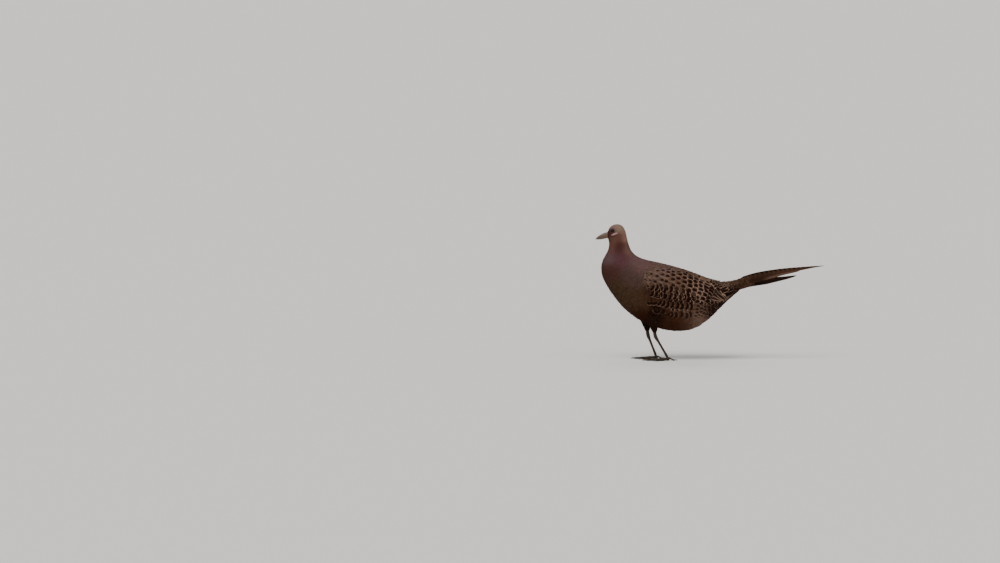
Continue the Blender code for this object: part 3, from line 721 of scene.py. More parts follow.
# ---------------------------------------------------------------- where the body's feathers grow
def rows_along():
    """Places along the body for each ring of feathers, closest on the face."""
    marks = [place(n) for n in ("face", "brow", "nape", "neck_mid", "mantle", "shoulder", "breast", "belly", "vent", "coverts_mid", "tail_cap")]
    gaps = (0.78, 0.86, 1.25, 1.9, 3.1, 4.6, 6.4, 8.8, 8.2, 7.0, 6.8)
    us = np.linspace(0, 1, 4000)
    line = body(us, np.full(us.shape, math.radians(100)))
    run = np.concatenate([[0], np.cumsum(np.linalg.norm(np.diff(line, axis=0), axis=1))])
    out, at = [], 0.4
    while at < run[-1]:
        u = float(np.interp(at, run, us))
        out.append((u, float(np.interp(u, marks, gaps))))
        at += out[-1][1]
    return out


def body_feathers():
    """Roots over the whole body, ring by ring, each ring set off by half a step from the last."""
    got = {k: [] for k in ("p", "u", "a", "gap", "du", "da")}
    rows = rows_along()
    fine = np.linspace(0, 2 * math.pi, 721)
    for i, (u, gap) in enumerate(rows):
        ring = body(np.full(fine.shape, u), fine)
        run = np.concatenate([[0], np.cumsum(np.linalg.norm(np.diff(ring, axis=0), axis=1))])
        count = max(8, int(round(run[-1] / (gap * 1.06))))
        at = (np.arange(count) + (0.5 if i % 2 else 0.0) + rng.uniform(-0.10, 0.10, count)) / count * run[-1]
        a = np.interp(at % run[-1], run, fine)
        uj = np.clip(u + rng.uniform(-0.12, 0.12, count) * (rows[min(i + 1, len(rows) - 1)][0] - u), 0, 1)
        got["p"].append(body(uj, a)), got["u"].append(uj), got["a"].append(a)
        got["gap"].append(np.full(count, gap))
        got["du"].append(np.full(count, rows[min(i + 1, len(rows) - 1)][0] - u if i + 1 < len(rows) else 0.01))
        got["da"].append(np.full(count, 2 * math.pi / count))
    return {k: np.concatenate(v) for k, v in got.items()}


def uv_in(values, lo, hi):
    return 0.02 + 0.96 * (values - lo) / (hi - lo)


def patches(a, u, da, du, a_range, u_range, fill=0.86):
    """Each feather's patch at its root's place on the body's unwrap: round the body one way and along it the other."""
    uv = np.stack([uv_in(a, *a_range), uv_in(u, *u_range)], -1)
    size = fill * 0.96 * np.stack([da / (a_range[1] - a_range[0]), du / (u_range[1] - u_range[0])], -1)
    return uv, size


def eye_axis(sign):
    return unit(np.array((-0.27, sign * 1.0, 0.23)))


def eye_ways(sign):
    """Ahead and up across the eye's axis."""
    axis = eye_axis(sign)
    ahead = unit(np.array((-1.0, 0, 0)) - axis * (np.array((-1.0, 0, 0)) @ axis))
    up = np.cross(axis, ahead)
    return ahead, up * np.sign(up[2])


def eye_seat(sign):
    """The eyeball's middle, set a little into the head."""
    return EYE_AT * (1, sign, 1) - 0.55 * eye_axis(sign)


def eye_gap(p, sign):
    """How far points lie from the line out of the eye's middle, as its opening is: longer than high."""
    rel = p - EYE_AT * (1, sign, 1)
    ahead, up = eye_ways(sign)
    return np.where(rel @ eye_axis(sign) > -1, np.hypot(rel @ ahead, (rel @ up) / 0.88), 99.0)


U_NAPE = place("nape")
coats = {}
all_roots = body_feathers()
near, nrm0, way0, kind0 = surface.project(all_roots["p"])
# roots under a wing or deep in a drumstick are left out, but those in the fold where it meets the belly stay
limit = np.where((near[:, 2] < 127) & (np.abs(near[:, 0] + 15) < 45), 4.5, 1.5)
hidden = np.linalg.norm(near - all_roots["p"], axis=1) > limit
near_eye = np.minimum(eye_gap(near, -1), eye_gap(near, 1))
keep = ~hidden & (near_eye > 4.65) & (all_roots["u"] < 0.985)
R = {k: v[keep] for k, v in all_roots.items()}
R["p"], R["n"], R["way"], R["eye"] = near[keep], nrm0[keep], way0[keep], near_eye[keep]


def round_eye(p, n, way):
    """The way feathers lie, turned to pass the eye as a stream passes a stone."""
    centre = EYE_AT * np.stack([np.ones(len(p)), np.where(p[:, 1] < 0, -1.0, 1.0), np.ones(len(p))], -1)
    rel = p - centre
    across = np.cross(n, way)
    x, z = (rel * way).sum(-1), (rel * across).sum(-1)
    r2 = np.maximum(x * x + z * z, 16.0)
    k = 4.7 ** 2 / r2 ** 2
    turned = unit(way * (1 - k * (x * x - z * z))[:, None] + across * (-2 * k * x * z + 1e-3)[:, None])
    near = step(16.0, 7.0, np.linalg.norm(rel, axis=1))[:, None]
    return unit(way * (1 - near) + turned * near)


on_head = R["u"] < U_NAPE
R["way"][on_head] = round_eye(R["p"][on_head], R["n"][on_head], R["way"][on_head])
# how far apart the rings are at each root
e = 0.5 * R["du"]
R["row"] = np.linalg.norm(body(np.clip(R["u"] + e, 0, 1), R["a"]) - body(np.clip(R["u"] - e, 0, 1), R["a"]), axis=1)

U = {n: place(n) for n in NAMES}
a_side = np.minimum(R["a"], 2 * math.pi - R["a"])  # from the back (0) to the belly (pi), the same on both sides
left = R["a"] < math.pi
# the flanks' barred feathers are laid in tracks of their own, further on
tips = photo_xy(R["p"] + R["way"] * (2.0 * R["row"])[:, None])
on_flank = (pattern(R["p"] + R["way"] * (2.0 * R["row"])[:, None], R["n"][:, 2])[2] > 0.55) & (R["u"] > U["shoulder"])
R["sunk"] = np.where(on_flank, 1.8, 0.0)
regions = {
    "coat_head": (R["u"] < U["nape"]),
    "coat_neck": (R["u"] >= U["nape"]) & (R["u"] < U["neck_mid"]),
    "coat_collar": (R["u"] >= U["neck_mid"]) & (R["u"] < U["mantle"]),
}
rest = R["u"] >= U["mantle"]
front = rest & (R["u"] < U["fore_back"])
regions["coat_breast"] = front
regions["coat_rump"] = rest & ~front & (R["u"] >= U["vent"])
rear = rest & ~front & (R["u"] < U["vent"])
regions["coat_back"] = rear & (a_side < 0.9)
regions["coat_belly"] = rear & (a_side > 2.35)
regions["coat_flank_left"] = rear & (a_side >= 0.9) & (a_side <= 2.35) & left
regions["coat_flank_right"] = rear & (a_side >= 0.9) & (a_side <= 2.35) & ~left


def spread(order, p, apart):
    """Picks roots in the given order, leaving out those that lie too near one picked before."""
    picked = np.zeros(len(p), bool)
    for i in order:
        picked[i] = bool((np.linalg.norm(p[picked] - p[i], axis=1) > apart[i]).all())
    return picked


def sizes_of(length, width, period=0.0):
    """Each vane's length and half width in millimetres, and how far apart its cross bars are (0 for none)."""
    return np.stack(np.broadcast_arrays(np.asarray(length, float), np.asarray(width, float) / 2, np.asarray(period, float)), -1)


for name, mask in regions.items():
    coat = coats[name] = Coat(name)
    r = {k: v[mask] for k, v in R.items()}
    n = len(r["u"])
    a = r["a"].copy()
    if name == "coat_back":
        a = np.where(a > math.pi, a - 2 * math.pi, a)
    a_edge, u_edge = r["da"].max() / 2 + 0.01, r["du"].max() / 2 + 0.002
    a_range, u_range = (a.min() - a_edge, a.max() + a_edge), (r["u"].min() - u_edge, r["u"].max() + u_edge)
    uv, uv_size = patches(a, r["u"], r["da"], r["du"], a_range, u_range)
    row = np.clip(r["row"], 0.75 * r["gap"], 1.9 * r["gap"])
    over = np.interp(r["u"], (U["face"], U["nape"], U["mantle"], U["belly"], U["vent"], U["coverts"], U["tail_cap"]), (3.2, 3.7, 3.5, 3.1, 3.1, 3.6, 4.0))
    length = row * over * rng.uniform(0.88, 1.14, n) * np.where(r["eye"] < 7.4, 0.62, 1.0)
    width = r["gap"] * np.interp(r["u"], (U["face"], U["nape"], U["mantle"], U["belly"], U["vent"], U["coverts"]), (1.40, 1.45, 1.65, 1.95, 1.9, 1.6)) * rng.uniform(0.92, 1.08, n)
    width = np.where(r["u"] < U["mantle"], width, np.maximum(width, 0.40 * length))
    tip = r["p"] + r["way"] * (0.75 * length)[:, None]
    vary = np.interp(r["u"], (U["mantle"], U["belly"]), (0.06, 0.12))[:, None]
    tone = ground_and_painted_shade(tip) * (1 + vary * rng.uniform(-1, 1, (n, 1))) * rng.uniform(0.98, 1.02, (n, 3))
    spot, edge, bar, form = pattern(tip, r["n"][:, 2])
    # the small feathers before the wing's bend are plain
    plain = np.where(r["u"] < U["back"], step(649, 655, photo_xy(tip)[0]), 1.0)
    mark = np.stack([spot * plain, edge * plain, bar, np.full(n, 0.5)], -1)
    depth = depth_of(r["u"]) * np.interp(r["u"], (U["nape"], U["mantle"], U["belly"]), (0.36, 0.34, 0.55))
    lift = np.interp(r["u"], (U["face"], U["nape"], U["mantle"], U["belly"]), (0.04, 0.08, 0.12, 0.4)) * rng.uniform(0.5, 1.5, n) - r["sunk"]
    # the rump's feathers stand up a little over the tail's root
    lift = lift + 2.0 * step(U["rump_front"], U["vent"], r["u"]) * step(U["tail_root"], U["coverts"], r["u"]) * step(1.2, 0.5, np.minimum(r["a"], 2 * math.pi - r["a"]))
    if name == "coat_back":
        chosen = spread(np.argsort(rng.uniform(0, 1, n)), r["p"], 1.3 * r["gap"]) | (r["u"] > U["rump"])
        spot = np.clip(spot * np.where(chosen, 1.25, 0.08), 0, 1)
        mark = np.stack([spot * plain, edge * plain * np.where(r["u"] > U["rump"], 0.8, 0.45), bar, np.full(n, 0.5)], -1)
        form = form * (1.0, 1.25, 1.15)
    tapered = name == "coat_rump"
    if tapered:
        length, width = length * 1.3, width * 0.74
        form = np.tile((0.60, 0.42, 0.40), (n, 1))
    bars = sizes_of(length, width)
    side_sign = np.where(r["a"] < math.pi, 1.0, -1.0)
    loose = (name == "coat_belly") | (photo_xy(tip)[1] > 316)
    small = name == "coat_head"
    neck = name in ("coat_neck", "coat_collar")
    lay(coat, r["p"], r["way"], length, width, "small" if small else "soft" if neck else "long" if tapered else "round", 3 if small else 5, depth, lift, uv, uv_size, tone, mark, form, bars,
        camber=0.12 if small else 0.16, roll=0.06 * side_sign, ragged=0.07 if small else 0.06 if neck else 0.035, thick=0.12 if small else 0.18 if neck else 0.26,
        fringe=5 if small else 8 if neck else 11, fringe_len=np.clip(0.42 * r["gap"], 0.55, 1.2) if small else np.clip(0.42 * r["gap"], 0.8, 2.8), drape=not small, follow=0.0 if small else 0.5)


def face_feathers():
    """The smallest feathers of all, over the bill's base and pointing away from it."""
    coat = Coat("coat_face")
    count = 58
    for i, (share, length, depth) in enumerate(((0.74, 3.0, -0.9), (0.90, 2.4, 0.05))):
        a = (np.arange(count) + 0.5 * i + rng.uniform(-0.1, 0.1, count)) / count * 2 * math.pi
        rim = body(np.zeros(count), a)
        mid = rim.mean(0)
        p, _, _, _ = surface.project(mid + (rim - mid) * share)
        uv = np.stack([0.03 + 0.94 * ((a / (2 * math.pi)) % 1.0), np.full(count, 0.26 + 0.48 * i)], -1)
        uv_size = np.tile((0.84 * 0.94 / count, 0.42), (count, 1))
        uv = np.clip(uv, uv_size / 2 + 0.004, 1 - uv_size / 2 - 0.004)
        long = length * rng.uniform(0.85, 1.12, count)
        wide = np.full(count, 1.35)
        tone = ground_and_painted_shade(p) * rng.uniform(0.93, 1.07, (count, 1))
        mark, form = np.tile((0.0, 0.0, 0.0, 0.5), (count, 1)), np.tile((0.8, 0.13, 0.4), (count, 1))
        lay(coat, p, unit(rim - mid), long, wide, "small", 3, depth, 0.12, uv, uv_size, tone, mark, form, sizes_of(long, wide),
            camber=0.12, roll=0.05, ragged=0.07, thick=0.12, fringe=5, fringe_len=0.5, follow=0.0, drape=False)
    return coat


coats["coat_face"] = face_feathers()


# ---------------------------------------------------------------- flanks
def from_side(px, py, sign):
    """The outline's point seen at a side-view place."""
    out = []
    for x, y in zip((px - 662) * 2.3, (360 - py) * 2.3):
        hit, _, _, _ = surface.tree.ray_cast(Vector((x, sign * 150.0, y)), Vector((0, -sign, 0)))
        if hit is None:
            hit = surface.tree.find_nearest(Vector((x, sign * 40.0, y)))[0]
        out.append(tuple(hit))
    return np.array(out)


for side_name, sign in (("left", -1), ("right", 1)):
    coat = coats[f"coat_bars_{side_name}"] = Coat(f"coat_bars_{side_name}")
    px, py, track = [], [], []
    for j, (y0, x0, x1) in enumerate(((285.5, 652, 672), (293.5, 649, 694), (302.5, 649, 696), (311.0, 656, 692))):
        x = np.arange(x0, x1, 4.7) + (2.35 if j % 2 else 0.0)
        px.append(x), py.append(y0 + 0.10 * (x - 660) + (1.5 if j == 0 else 0.0)), track.append(np.full(len(x), j))
    px, py, track = (np.concatenate(v) for v in (px, py, track))
    loose = np.where(track == 3, 1.2, 0.5)
    px, py = px + loose * rng.uniform(-1, 1, len(px)), py + (loose + 0.2) * rng.uniform(-1, 1, len(py))
    p, nrm, way, _ = surface.project(from_side(px, py, sign))
    # feathers in front of the drumstick turn down
    turn = np.radians(60.0) * np.exp(-((px - 652.5) / 6.5) ** 2) * step(297, 302, py) + np.radians(10.0) * np.exp(-((px - 660) / 9) ** 2)
    side = np.cross(nrm, way)
    side *= -np.sign(side[:, 2:3])
    way = unit(way * np.cos(turn)[:, None] + side * np.sin(turn)[:, None])
    n = len(p)
    length, width = rng.uniform(28, 31, n), rng.uniform(20.5, 23.5, n)
    back = p.copy()
    for _ in range(4):
        back = surface.project(back - way * (0.2 * length)[:, None])[0]
    tone = ground_and_painted_shade(p) * rng.uniform(0.92, 1.08, (n, 1))
    uv = np.stack([uv_in(px, px.min() - 3, px.max() + 3), uv_in(py, py.min() - 5, py.max() + 5)], -1)
    uv_size = np.tile((0.86 * 0.96 * 8.0 / (np.ptp(py) + 10), 0.86 * 0.96 * 4.0 / (np.ptp(px) + 6)), (n, 1))
    uv = uv[:, ::-1]
    mark = np.stack([np.zeros(n), 0.52 - 0.10 * (track == 3), np.full(n, 1.0), np.full(n, 0.5)], -1)
    mark[track == 3, 1] *= 0.8
    mark[track == 3, 2] *= 0.85
    lay(coat, back, way, length, width, "round", 9, 3.0, 1.3, uv, uv_size, tone, mark, np.tile((0.8, 0.13, 0.4), (n, 1)), sizes_of(length, width),
        camber=0.12, roll=0.0, ragged=0.012, thick=0.3, fringe=11, fringe_len=1.8, follow=0.0)


# ---------------------------------------------------------------- wings
def wing_point(sign, t, q):
    """The wing's outer face at places along (0 to 1) and across (-1 to 1) it."""
    base, normal, swell = wings[sign]
    p = base + normal * (WING_OUT + swell)[..., None]
    x, y = np.clip(t, 0, 1) * (len(WT) - 1), (np.clip(q, -1, 1) + 1) / 2 * (len(WQ) - 1)
    i, j = np.minimum(x.astype(int), len(WT) - 2), np.minimum(y.astype(int), len(WQ) - 2)
    f, g = (x - i)[..., None], (y - j)[..., None]
    return (p[i, j] * (1 - f) + p[i + 1, j] * f) * (1 - g) + (p[i, j + 1] * (1 - f) + p[i + 1, j + 1] * f) * g


for side_name, sign in (("left", -1), ("right", 1)):
    coat = coats[f"coat_wing_{side_name}"] = Coat(f"coat_wing_{side_name}")
    # rows across the wing, further apart towards its tip
    t_line = wing_point(sign, np.linspace(0, 1, 400), np.zeros(400))
    run = np.concatenate([[0], np.cumsum(np.linalg.norm(np.diff(t_line, axis=0), axis=1))])
    at, rows = 4.5, []
    while at < run[-1] * 0.90:
        t = float(np.interp(at, run, np.linspace(0, 1, 400)))
        gap = float(np.interp(t, (0, 0.04, 0.09, 0.15, 0.24, 0.45, 0.7, 1), (4.6, 5.6, 7.6, 9.8, 12.0, 13.2, 12.4, 12.6)))
        rows.append((t, gap, at))
        at += gap
    got = {k: [] for k in ("t", "q", "gap", "dq", "dt")}
    for i, (t, gap, at) in enumerate(rows):
        low, top = wing_point(sign, np.array([t]), np.array([-1.0]))[0], wing_point(sign, np.array([t]), np.array([1.0]))[0]
        qs = np.linspace(-1, 1, 200)
        line = wing_point(sign, np.full(200, t), qs)
        cross = np.concatenate([[0], np.cumsum(np.linalg.norm(np.diff(line, axis=0), axis=1))])
        count = max(2, int(round(cross[-1] / (gap * 0.92))))
        places = (np.arange(count) + (0.25 if i % 2 else 0.75) + rng.uniform(-0.08, 0.08, count)) / count * cross[-1]
        q = np.interp(places, cross, qs)
        got["t"].append(np.full(count, t) + rng.uniform(-0.004, 0.004, count)), got["q"].append(q)
        got["gap"].append(np.full(count, gap)), got["dq"].append(np.full(count, 2 / count)), got["dt"].append(np.full(count, gap / run[-1]))
    g = {k: np.concatenate(v) for k, v in got.items()}
    p, nrm, way, _ = surface.project(wing_point(sign, g["t"], g["q"]))
    n = len(p)
    uv, uv_size = patches(g["q"], g["t"], g["dq"], g["dt"], (-1.1, 1.1), (-0.03, 0.97))
    length = g["gap"] * np.interp(g["t"], (0, 0.3, 0.7, 1), (2.6, 2.6, 2.9, 3.1)) * rng.uniform(0.95, 1.05, n)
    # no feather runs past the wing's own end
    length = np.minimum(length, np.maximum(14.0, (1 - g["t"]) * run[-1] * 0.98))
    width = g["gap"] * 1.62 * rng.uniform(0.95, 1.05, n)
    tip = p + way * (0.75 * length)[:, None]
    tone = ground_and_painted_shade(tip) * rng.uniform(0.9, 1.1, (n, 1)) * rng.uniform(0.97, 1.03, (n, 3))
    spot, edge, bar, form = pattern(tip, nrm[:, 2])
    mark = np.stack([spot, edge, bar, np.full(n, 0.6)], -1)
    lay(coat, p, way, length, width, "round", 7, 1.9, 0.1 + 0.6 * step(0.04, 0.16, g["t"]), uv, uv_size, tone, mark, form, sizes_of(length, width),
        camber=0.14, roll=0.06 * -sign, ragged=0.012, thick=0.3, fringe=7, fringe_len=1.6, follow=0.5)


# ---------------------------------------------------------------- long feathers
def long_vane(coat, line, normal, side, widths, tone, mark, form, period, uv_box, cols=11, camber=0.10, thick=0.45, splits=0, roll=0.0):
    """One long feather along a line, with its shaft, given half widths to the side of each of its edges."""
    ns = len(line)
    ts = np.linspace(-1, 1, cols)
    span = np.where(ts[None] < 0, widths[0][:, None], widths[1][:, None]) * ts[None]
    top = line[:, None] + side[:, None] * span[..., None]
    drop = camber * np.abs(span) ** 1.25 * 0.5
    length = np.linalg.norm(np.diff(line, axis=0), axis=1).sum()
    run = np.concatenate([[0], np.cumsum(np.linalg.norm(np.diff(line, axis=0), axis=1))]) / length
    notch = rng.uniform(-1, 1, (ns, cols)) * 0.5
    for _ in range(splits):
        k, edge = rng.integers(ns // 4, ns - 3), rng.integers(0, 2) * (cols - 1)
        notch[k, edge] -= 2.2
    top = top - normal[:, None] * drop[..., None] + normal[:, None] * (roll * span)[..., None]
    along = unit(np.gradient(line, axis=0))
    sway = notch * (np.abs(ts) > 0.9)[None] * step(0.05, 0.2, run)[:, None]
    top = top + along[:, None] * sway[..., None]
    mid = cols // 2
    shaft = np.exp(-((ts / 0.10) ** 2))[None] * 0.35 * (1 - 0.7 * run)[:, None]
    top = top + normal[:, None] * shaft[..., None]
    under = top[:, mid] - normal * (thick * (1.25 - 0.9 * run))[:, None]
    co = np.concatenate([top, under[:, None]], 1).reshape(1, -1, 3)
    off = np.where(np.arange(ns) == ns - 1, 0.006, -0.006)
    s_grid = run[:, None] + np.concatenate([np.zeros((ns, cols)), off[:, None]], 1)
    t_grid = np.broadcast_to(np.append(ts, 0.0)[None], (ns, cols + 1))
    half = (widths[0] + widths[1]) / 2
    t_uv = t_grid * np.maximum(half / half.max(), 0.12)[:, None]
    vane = np.stack([s_grid, t_grid, np.full_like(s_grid, rng.uniform())], -1).reshape(1, -1, 3)
    u0, v0, u1, v1 = uv_box
    uv = np.stack([u0 + (u1 - u0) * (0.5 + 0.46 * t_uv), v0 + (v1 - v0) * (0.02 + 0.96 * np.clip(s_grid, -0.01, 1.01))], -1).reshape(1, -1, 2)
    one = lambda v: np.asarray(v, float).reshape(1, 1, -1)
    coat.add(co, vane_polys(ns, cols), vane=vane, tone=one([*tone, 1.0]), mark=one(mark), form=one(form), bars=one([length, half.max(), period]), uv=uv)


def rectrices():
    """Eighteen tail feathers: nine pairs, folded into a tent, the middle pair longest and on top."""
    coat = Coat("coat_tail")
    ends = (1.0, 0.815, 0.80, 0.785, 0.77, 0.755, 0.735, 0.70, 0.64)
    # the lower pairs part from the upper ones towards their tips
    near_root = (0.215, 0.29, 0.38, 0.46, 0.54, 0.64, 0.72, 0.78, 0.83)
    near_tip = (0.03, 0.24, 0.29, 0.34, 0.38, 0.76, 0.80, 0.83, 0.86)
    halves = (0.25, 0.24, 0.23, 0.21, 0.20, 0.21, 0.19, 0.17, 0.15)
    narrow = (1.0, 0.95, 0.90, 0.85, 0.80, 0.62, 0.58, 0.52, 0.46)
    # the four lowest pairs (the last four tones) are painted near black as the shade along the tent's lower edge
    tones = ((59, 38, 27), (55, 34, 24), (52, 32, 22), (54, 33, 23), (64, 42, 31), (24, 9, 5), (21, 8, 4), (20, 7, 4), (20, 7, 4))
    n = 0
    for k in range(8, -1, -1):
        for sign in (-1, 1):
            ns = 64 if k == 0 else 52
            f = np.linspace(0, 1, ns)
            s = 0.0 + ends[k] * f
            layer = 0.25 + 0.34 * k + (0.12 if sign > 0 else 0.0)
            fade = np.clip((1 - f) / 0.30, 0, 1)
            prof = np.minimum(1, 0.55 + 4.5 * f) * fade ** (0.62 if k else 0.75)
            if k == 0:
                prof = np.interp(f, (0, 0.1, 0.55, 0.72, 0.84, 0.93, 0.985, 1.0), (0.6, 1.0, 1.0, 0.90, 0.68, 0.48, 0.30, 0.07))
            prof = np.maximum(prof, 0.045)
            if k == 0:
                centre = np.interp(f, (0, 0.5, 0.8, 1.0), (0.215, 0.215, 0.15, 0.03))
            else:
                centre = near_root[k] + (near_tip[k] - near_root[k]) * step(0.24, 0.64, s)
                prof = prof * (1 + (narrow[k] - 1) * step(0.28, 0.62, s))
            line = tail(s, centre, sign, inward=np.full(ns, layer))
            e = 0.02
            side = unit(tail(s, centre + e, sign) - tail(s, centre - e, sign))
            along = unit(np.gradient(line, axis=0))
            side = unit(side - along * (side * along).sum(-1, keepdims=True))
            normal = np.cross(along, side)
            normal *= np.sign(normal[:, 2:3])
            unit_v = np.linalg.norm(tail(s, centre + 0.1, sign) - tail(s, centre - 0.1, sign), axis=1) / 0.2
            half = halves[k] * unit_v * prof
            inner, outer = half * 1.0, half * 1.0
            tone = linear(tones[k]) * rng.uniform(0.95, 1.05)
            strength = (1.0, 0.4, 0.25, 0.2, 0.2, 0.2, 0.2, 0.2, 0.2)[k]
            long_vane(coat, line, normal, side, (inner, outer), tone, (0.0, 0.25 if k < 5 else 0.04, strength, 1.0), (0.5, 0.1, 0.5), 10.6, (0.02 + 0.96 * n / 18, 0.02, 0.02 + 0.96 * (n + 1) / 18, 0.98), cols=13, splits=3)
            n += 1
    return coat


coats["coat_tail"] = rectrices()


def covert_feathers():
    """The long coverts that lie over the tail's root, above and below its sides."""
    coat = Coat("coat_coverts")
    got = {k: [] for k in ("p", "d", "v", "row", "size")}
    for i, (s, size) in enumerate(((0.0, 30.0), (0.02, 31.0), (0.045, 32.0), (0.07, 33.0))):
        count = 13
        v = (np.arange(count) + (0.25 if i % 2 else 0.75)) / count * 1.9 - 0.95
        got["p"].append(tail(np.full(count, s), v, 1)), got["d"].append(tail(np.full(count, s + 0.03), v, 1) - tail(np.full(count, s), v, 1))
        got["v"].append(v), got["row"].append(np.full(count, i)), got["size"].append(size * (0.54 + 0.50 * step(0.74, 0.95, np.abs(v))) * rng.uniform(0.80, 1.14, count))
    g = {k: np.concatenate(v) for k, v in got.items()}
    n = len(g["v"])
    p, _, _, _ = surface.project(g["p"])
    uv = np.stack([0.5 + 0.46 * g["v"], 0.14 + 0.24 * g["row"]], -1)
    uv_size = np.tile((0.86 * 0.92 / 26, 0.86 * 0.24), (n, 1))
    tip = p + unit(g["d"]) * (0.7 * g["size"])[:, None]
    tone = ground_and_painted_shade(tip) * rng.uniform(0.9, 1.1, (n, 1))
    mark = np.stack([np.full(n, 0.8), 0.34 - 0.07 * g["row"], np.zeros(n), np.full(n, 0.5)], -1)
    lay(coat, p, unit(g["d"]), g["size"], np.full(n, 8.6) * rng.uniform(0.9, 1.1, n), "long", 7, 1.6, 0.5 + 0.2 * (3 - g["row"]), uv, uv_size, tone, mark,
        np.tile((0.58, 0.42, 0.42), (n, 1)), sizes_of(g["size"], 9.0), camber=0.16, roll=0.0, ragged=0.012, thick=0.3, fringe=9, fringe_len=1.8, follow=0.2)
    return coat


coats["coat_coverts"] = covert_feathers()


def flight_feathers(sign, name):
    """Primaries under the coverts, showing along the folded wing's lower rear edge and at its tip."""
    coat = Coat(name)
    count, boxes = 7, 10
    for k, (t0, q0, t1, q1, wide) in enumerate(((0.72, -0.20, 0.95, -0.20, 4.6), (0.74, 0.30, 0.97, 0.15, 4.8), (0.76, 0.72, 0.99, 0.45, 4.8))):
        f = np.linspace(0, 1, 34)
        t, q = t0 + (t1 - t0) * f, q0 + (q1 - q0) * f
        line, normal, _, _ = surface.project(wing_point(sign, t, q))
        along = unit(np.gradient(line, axis=0))
        normal = unit(normal - along * (normal * along).sum(-1, keepdims=True))
        side = np.cross(normal, along) * -sign
        line = line + normal * (-2.6 + 3.5 * step(0.0, 0.45, f) + 0.15 * k)[:, None]
        prof = np.minimum(1, 0.45 + 2.0 * f) * np.clip((1 - f) / 0.26, 0, 1) ** 0.55
        half = wide * np.maximum(prof, 0.05)
        tone = ground_and_painted_shade(line[10:-4]).mean(0) * 1.05
        long_vane(coat, line, normal, side, (half, half), tone, (0.85, 1.0, 0.0, 1.0), (0.60, 0.45, 0.52), 0.0, (0.02 + 0.96 * (count + k) / boxes, 0.02, 0.02 + 0.96 * (count + k + 1) / boxes, 0.98), cols=9, splits=2)
    for k in range(count):
        f = np.linspace(0, 1, 34)
        t0, t1 = 0.42 + 0.02 * k, 0.985 - 0.035 * k
        q0, q1 = -0.72 + 0.03 * k, -0.55 + 0.12 * k
        t, q = t0 + (t1 - t0) * f, q0 + (q1 - q0) * f ** 1.3
        line = wing_point(sign, t, q)
        line, normal, _, _ = surface.project(line)
        along = unit(np.gradient(line, axis=0))
        normal = unit(normal - along * (normal * along).sum(-1, keepdims=True))
        side = np.cross(normal, along) * -sign
        line = line - normal * (1.0 + 0.28 * (count - k))
        prof = np.minimum(1, 0.5 + 4 * f) * np.clip((1 - f) / 0.22, 0, 1) ** 0.6
        prof = np.maximum(prof, 0.05)
        half = 6.4 * prof
        tone = ground_and_painted_shade(line[-6:]).mean(0) * 0.9
        long_vane(coat, line, normal, side, (half, half * 0.9), tone, (0.0, 0.8, 0.55, 1.0), (0.5, 0.1, 0.5), 7.0, (0.02 + 0.96 * k / boxes, 0.02, 0.02 + 0.96 * (k + 1) / boxes, 0.98), cols=9, splits=2)
    return coat


for side_name, sign in (("left", -1), ("right", 1)):
    coats[f"coat_flight_{side_name}"] = flight_feathers(sign, f"coat_flight_{side_name}")


def thigh_feathers(side_name, leg):
    coat = Coat(f"coat_thigh_{side_name}")
    path, radii = thigh_path(leg, 200)
    run = np.concatenate([[0], np.cumsum(np.linalg.norm(np.diff(path, axis=0), axis=1))])
    way = unit(np.gradient(path, axis=0))
    across = unit(np.cross(way, (0, 1, 0)))
    up = np.cross(across, way)
    got = {k: [] for k in ("p", "f", "a", "gap", "dc")}
    at, i = 2.0, 0
    while at < run[-1] - 0.5:
        f = at / run[-1]
        gap = float(np.interp(f, (0, 0.5, 1), (5.2, 3.4, 2.0)))
        k = int(np.searchsorted(run, at))
        count = max(7, int(round(2 * math.pi * radii[k] / (gap * 1.1))))
        a = (np.arange(count) + 0.5 * (i % 2) + rng.uniform(-0.12, 0.12, count)) / count * 2 * math.pi
        got["p"].append(path[k] + radii[k] * (np.cos(a)[:, None] * across[k] + np.sin(a)[:, None] * up[k]))
        got["f"].append(np.full(count, f)), got["a"].append(a), got["gap"].append(np.full(count, gap)), got["dc"].append(np.full(count, 1 / count))
        at += gap
        i += 1
    g = {k: np.concatenate(v) for k, v in got.items()}
    near, nrm, flow, _ = surface.project(g["p"])
    keep = np.linalg.norm(near - g["p"], axis=1) < 3.2
    g = {k: v[keep] for k, v in g.items()}
    p, n = near[keep], int(keep.sum())
    k = np.clip((g["f"] * 199).astype(int), 0, 199)
    d = way[k] - nrm[keep] * (way[k] * nrm[keep]).sum(-1, keepdims=True)
    uv = np.stack([0.03 + 0.94 * ((g["a"] / (2 * math.pi)) % 1.0), 0.03 + 0.94 * (g["f"] - g["f"].min()) / np.ptp(g["f"])], -1)
    uv_size = 0.84 * np.stack([0.94 * g["dc"], 0.94 * g["gap"] / (run[-1] * np.ptp(g["f"]))], -1)
    uv = np.clip(uv, uv_size / 2 + 0.004, 1 - uv_size / 2 - 0.004)
    length, width = g["gap"] * 3.0 * rng.uniform(0.9, 1.15, n), g["gap"] * 1.9
    tip = p + unit(d) * (0.7 * length)[:, None]
    tone = ground_and_painted_shade(tip) * rng.uniform(0.85, 1.15, (n, 1))
    mark = np.stack([np.full(n, 0.1), np.full(n, 0.1), np.zeros(n), np.full(n, 0.5)], -1)
    form = np.tile((0.8, 0.13, 0.4), (n, 1))
    lay(coat, p, d, length, width, "soft", 5, 1.6, 0.5, uv, uv_size, tone, mark, form, sizes_of(length, width), camber=0.18, roll=0.0,
        ragged=0.05, thick=0.2, fringe=9, fringe_len=1.5, follow=0.1)
    return coat


for side_name, leg in LEGS.items():
    coats[f"coat_thigh_{side_name}"] = thigh_feathers(side_name, leg)


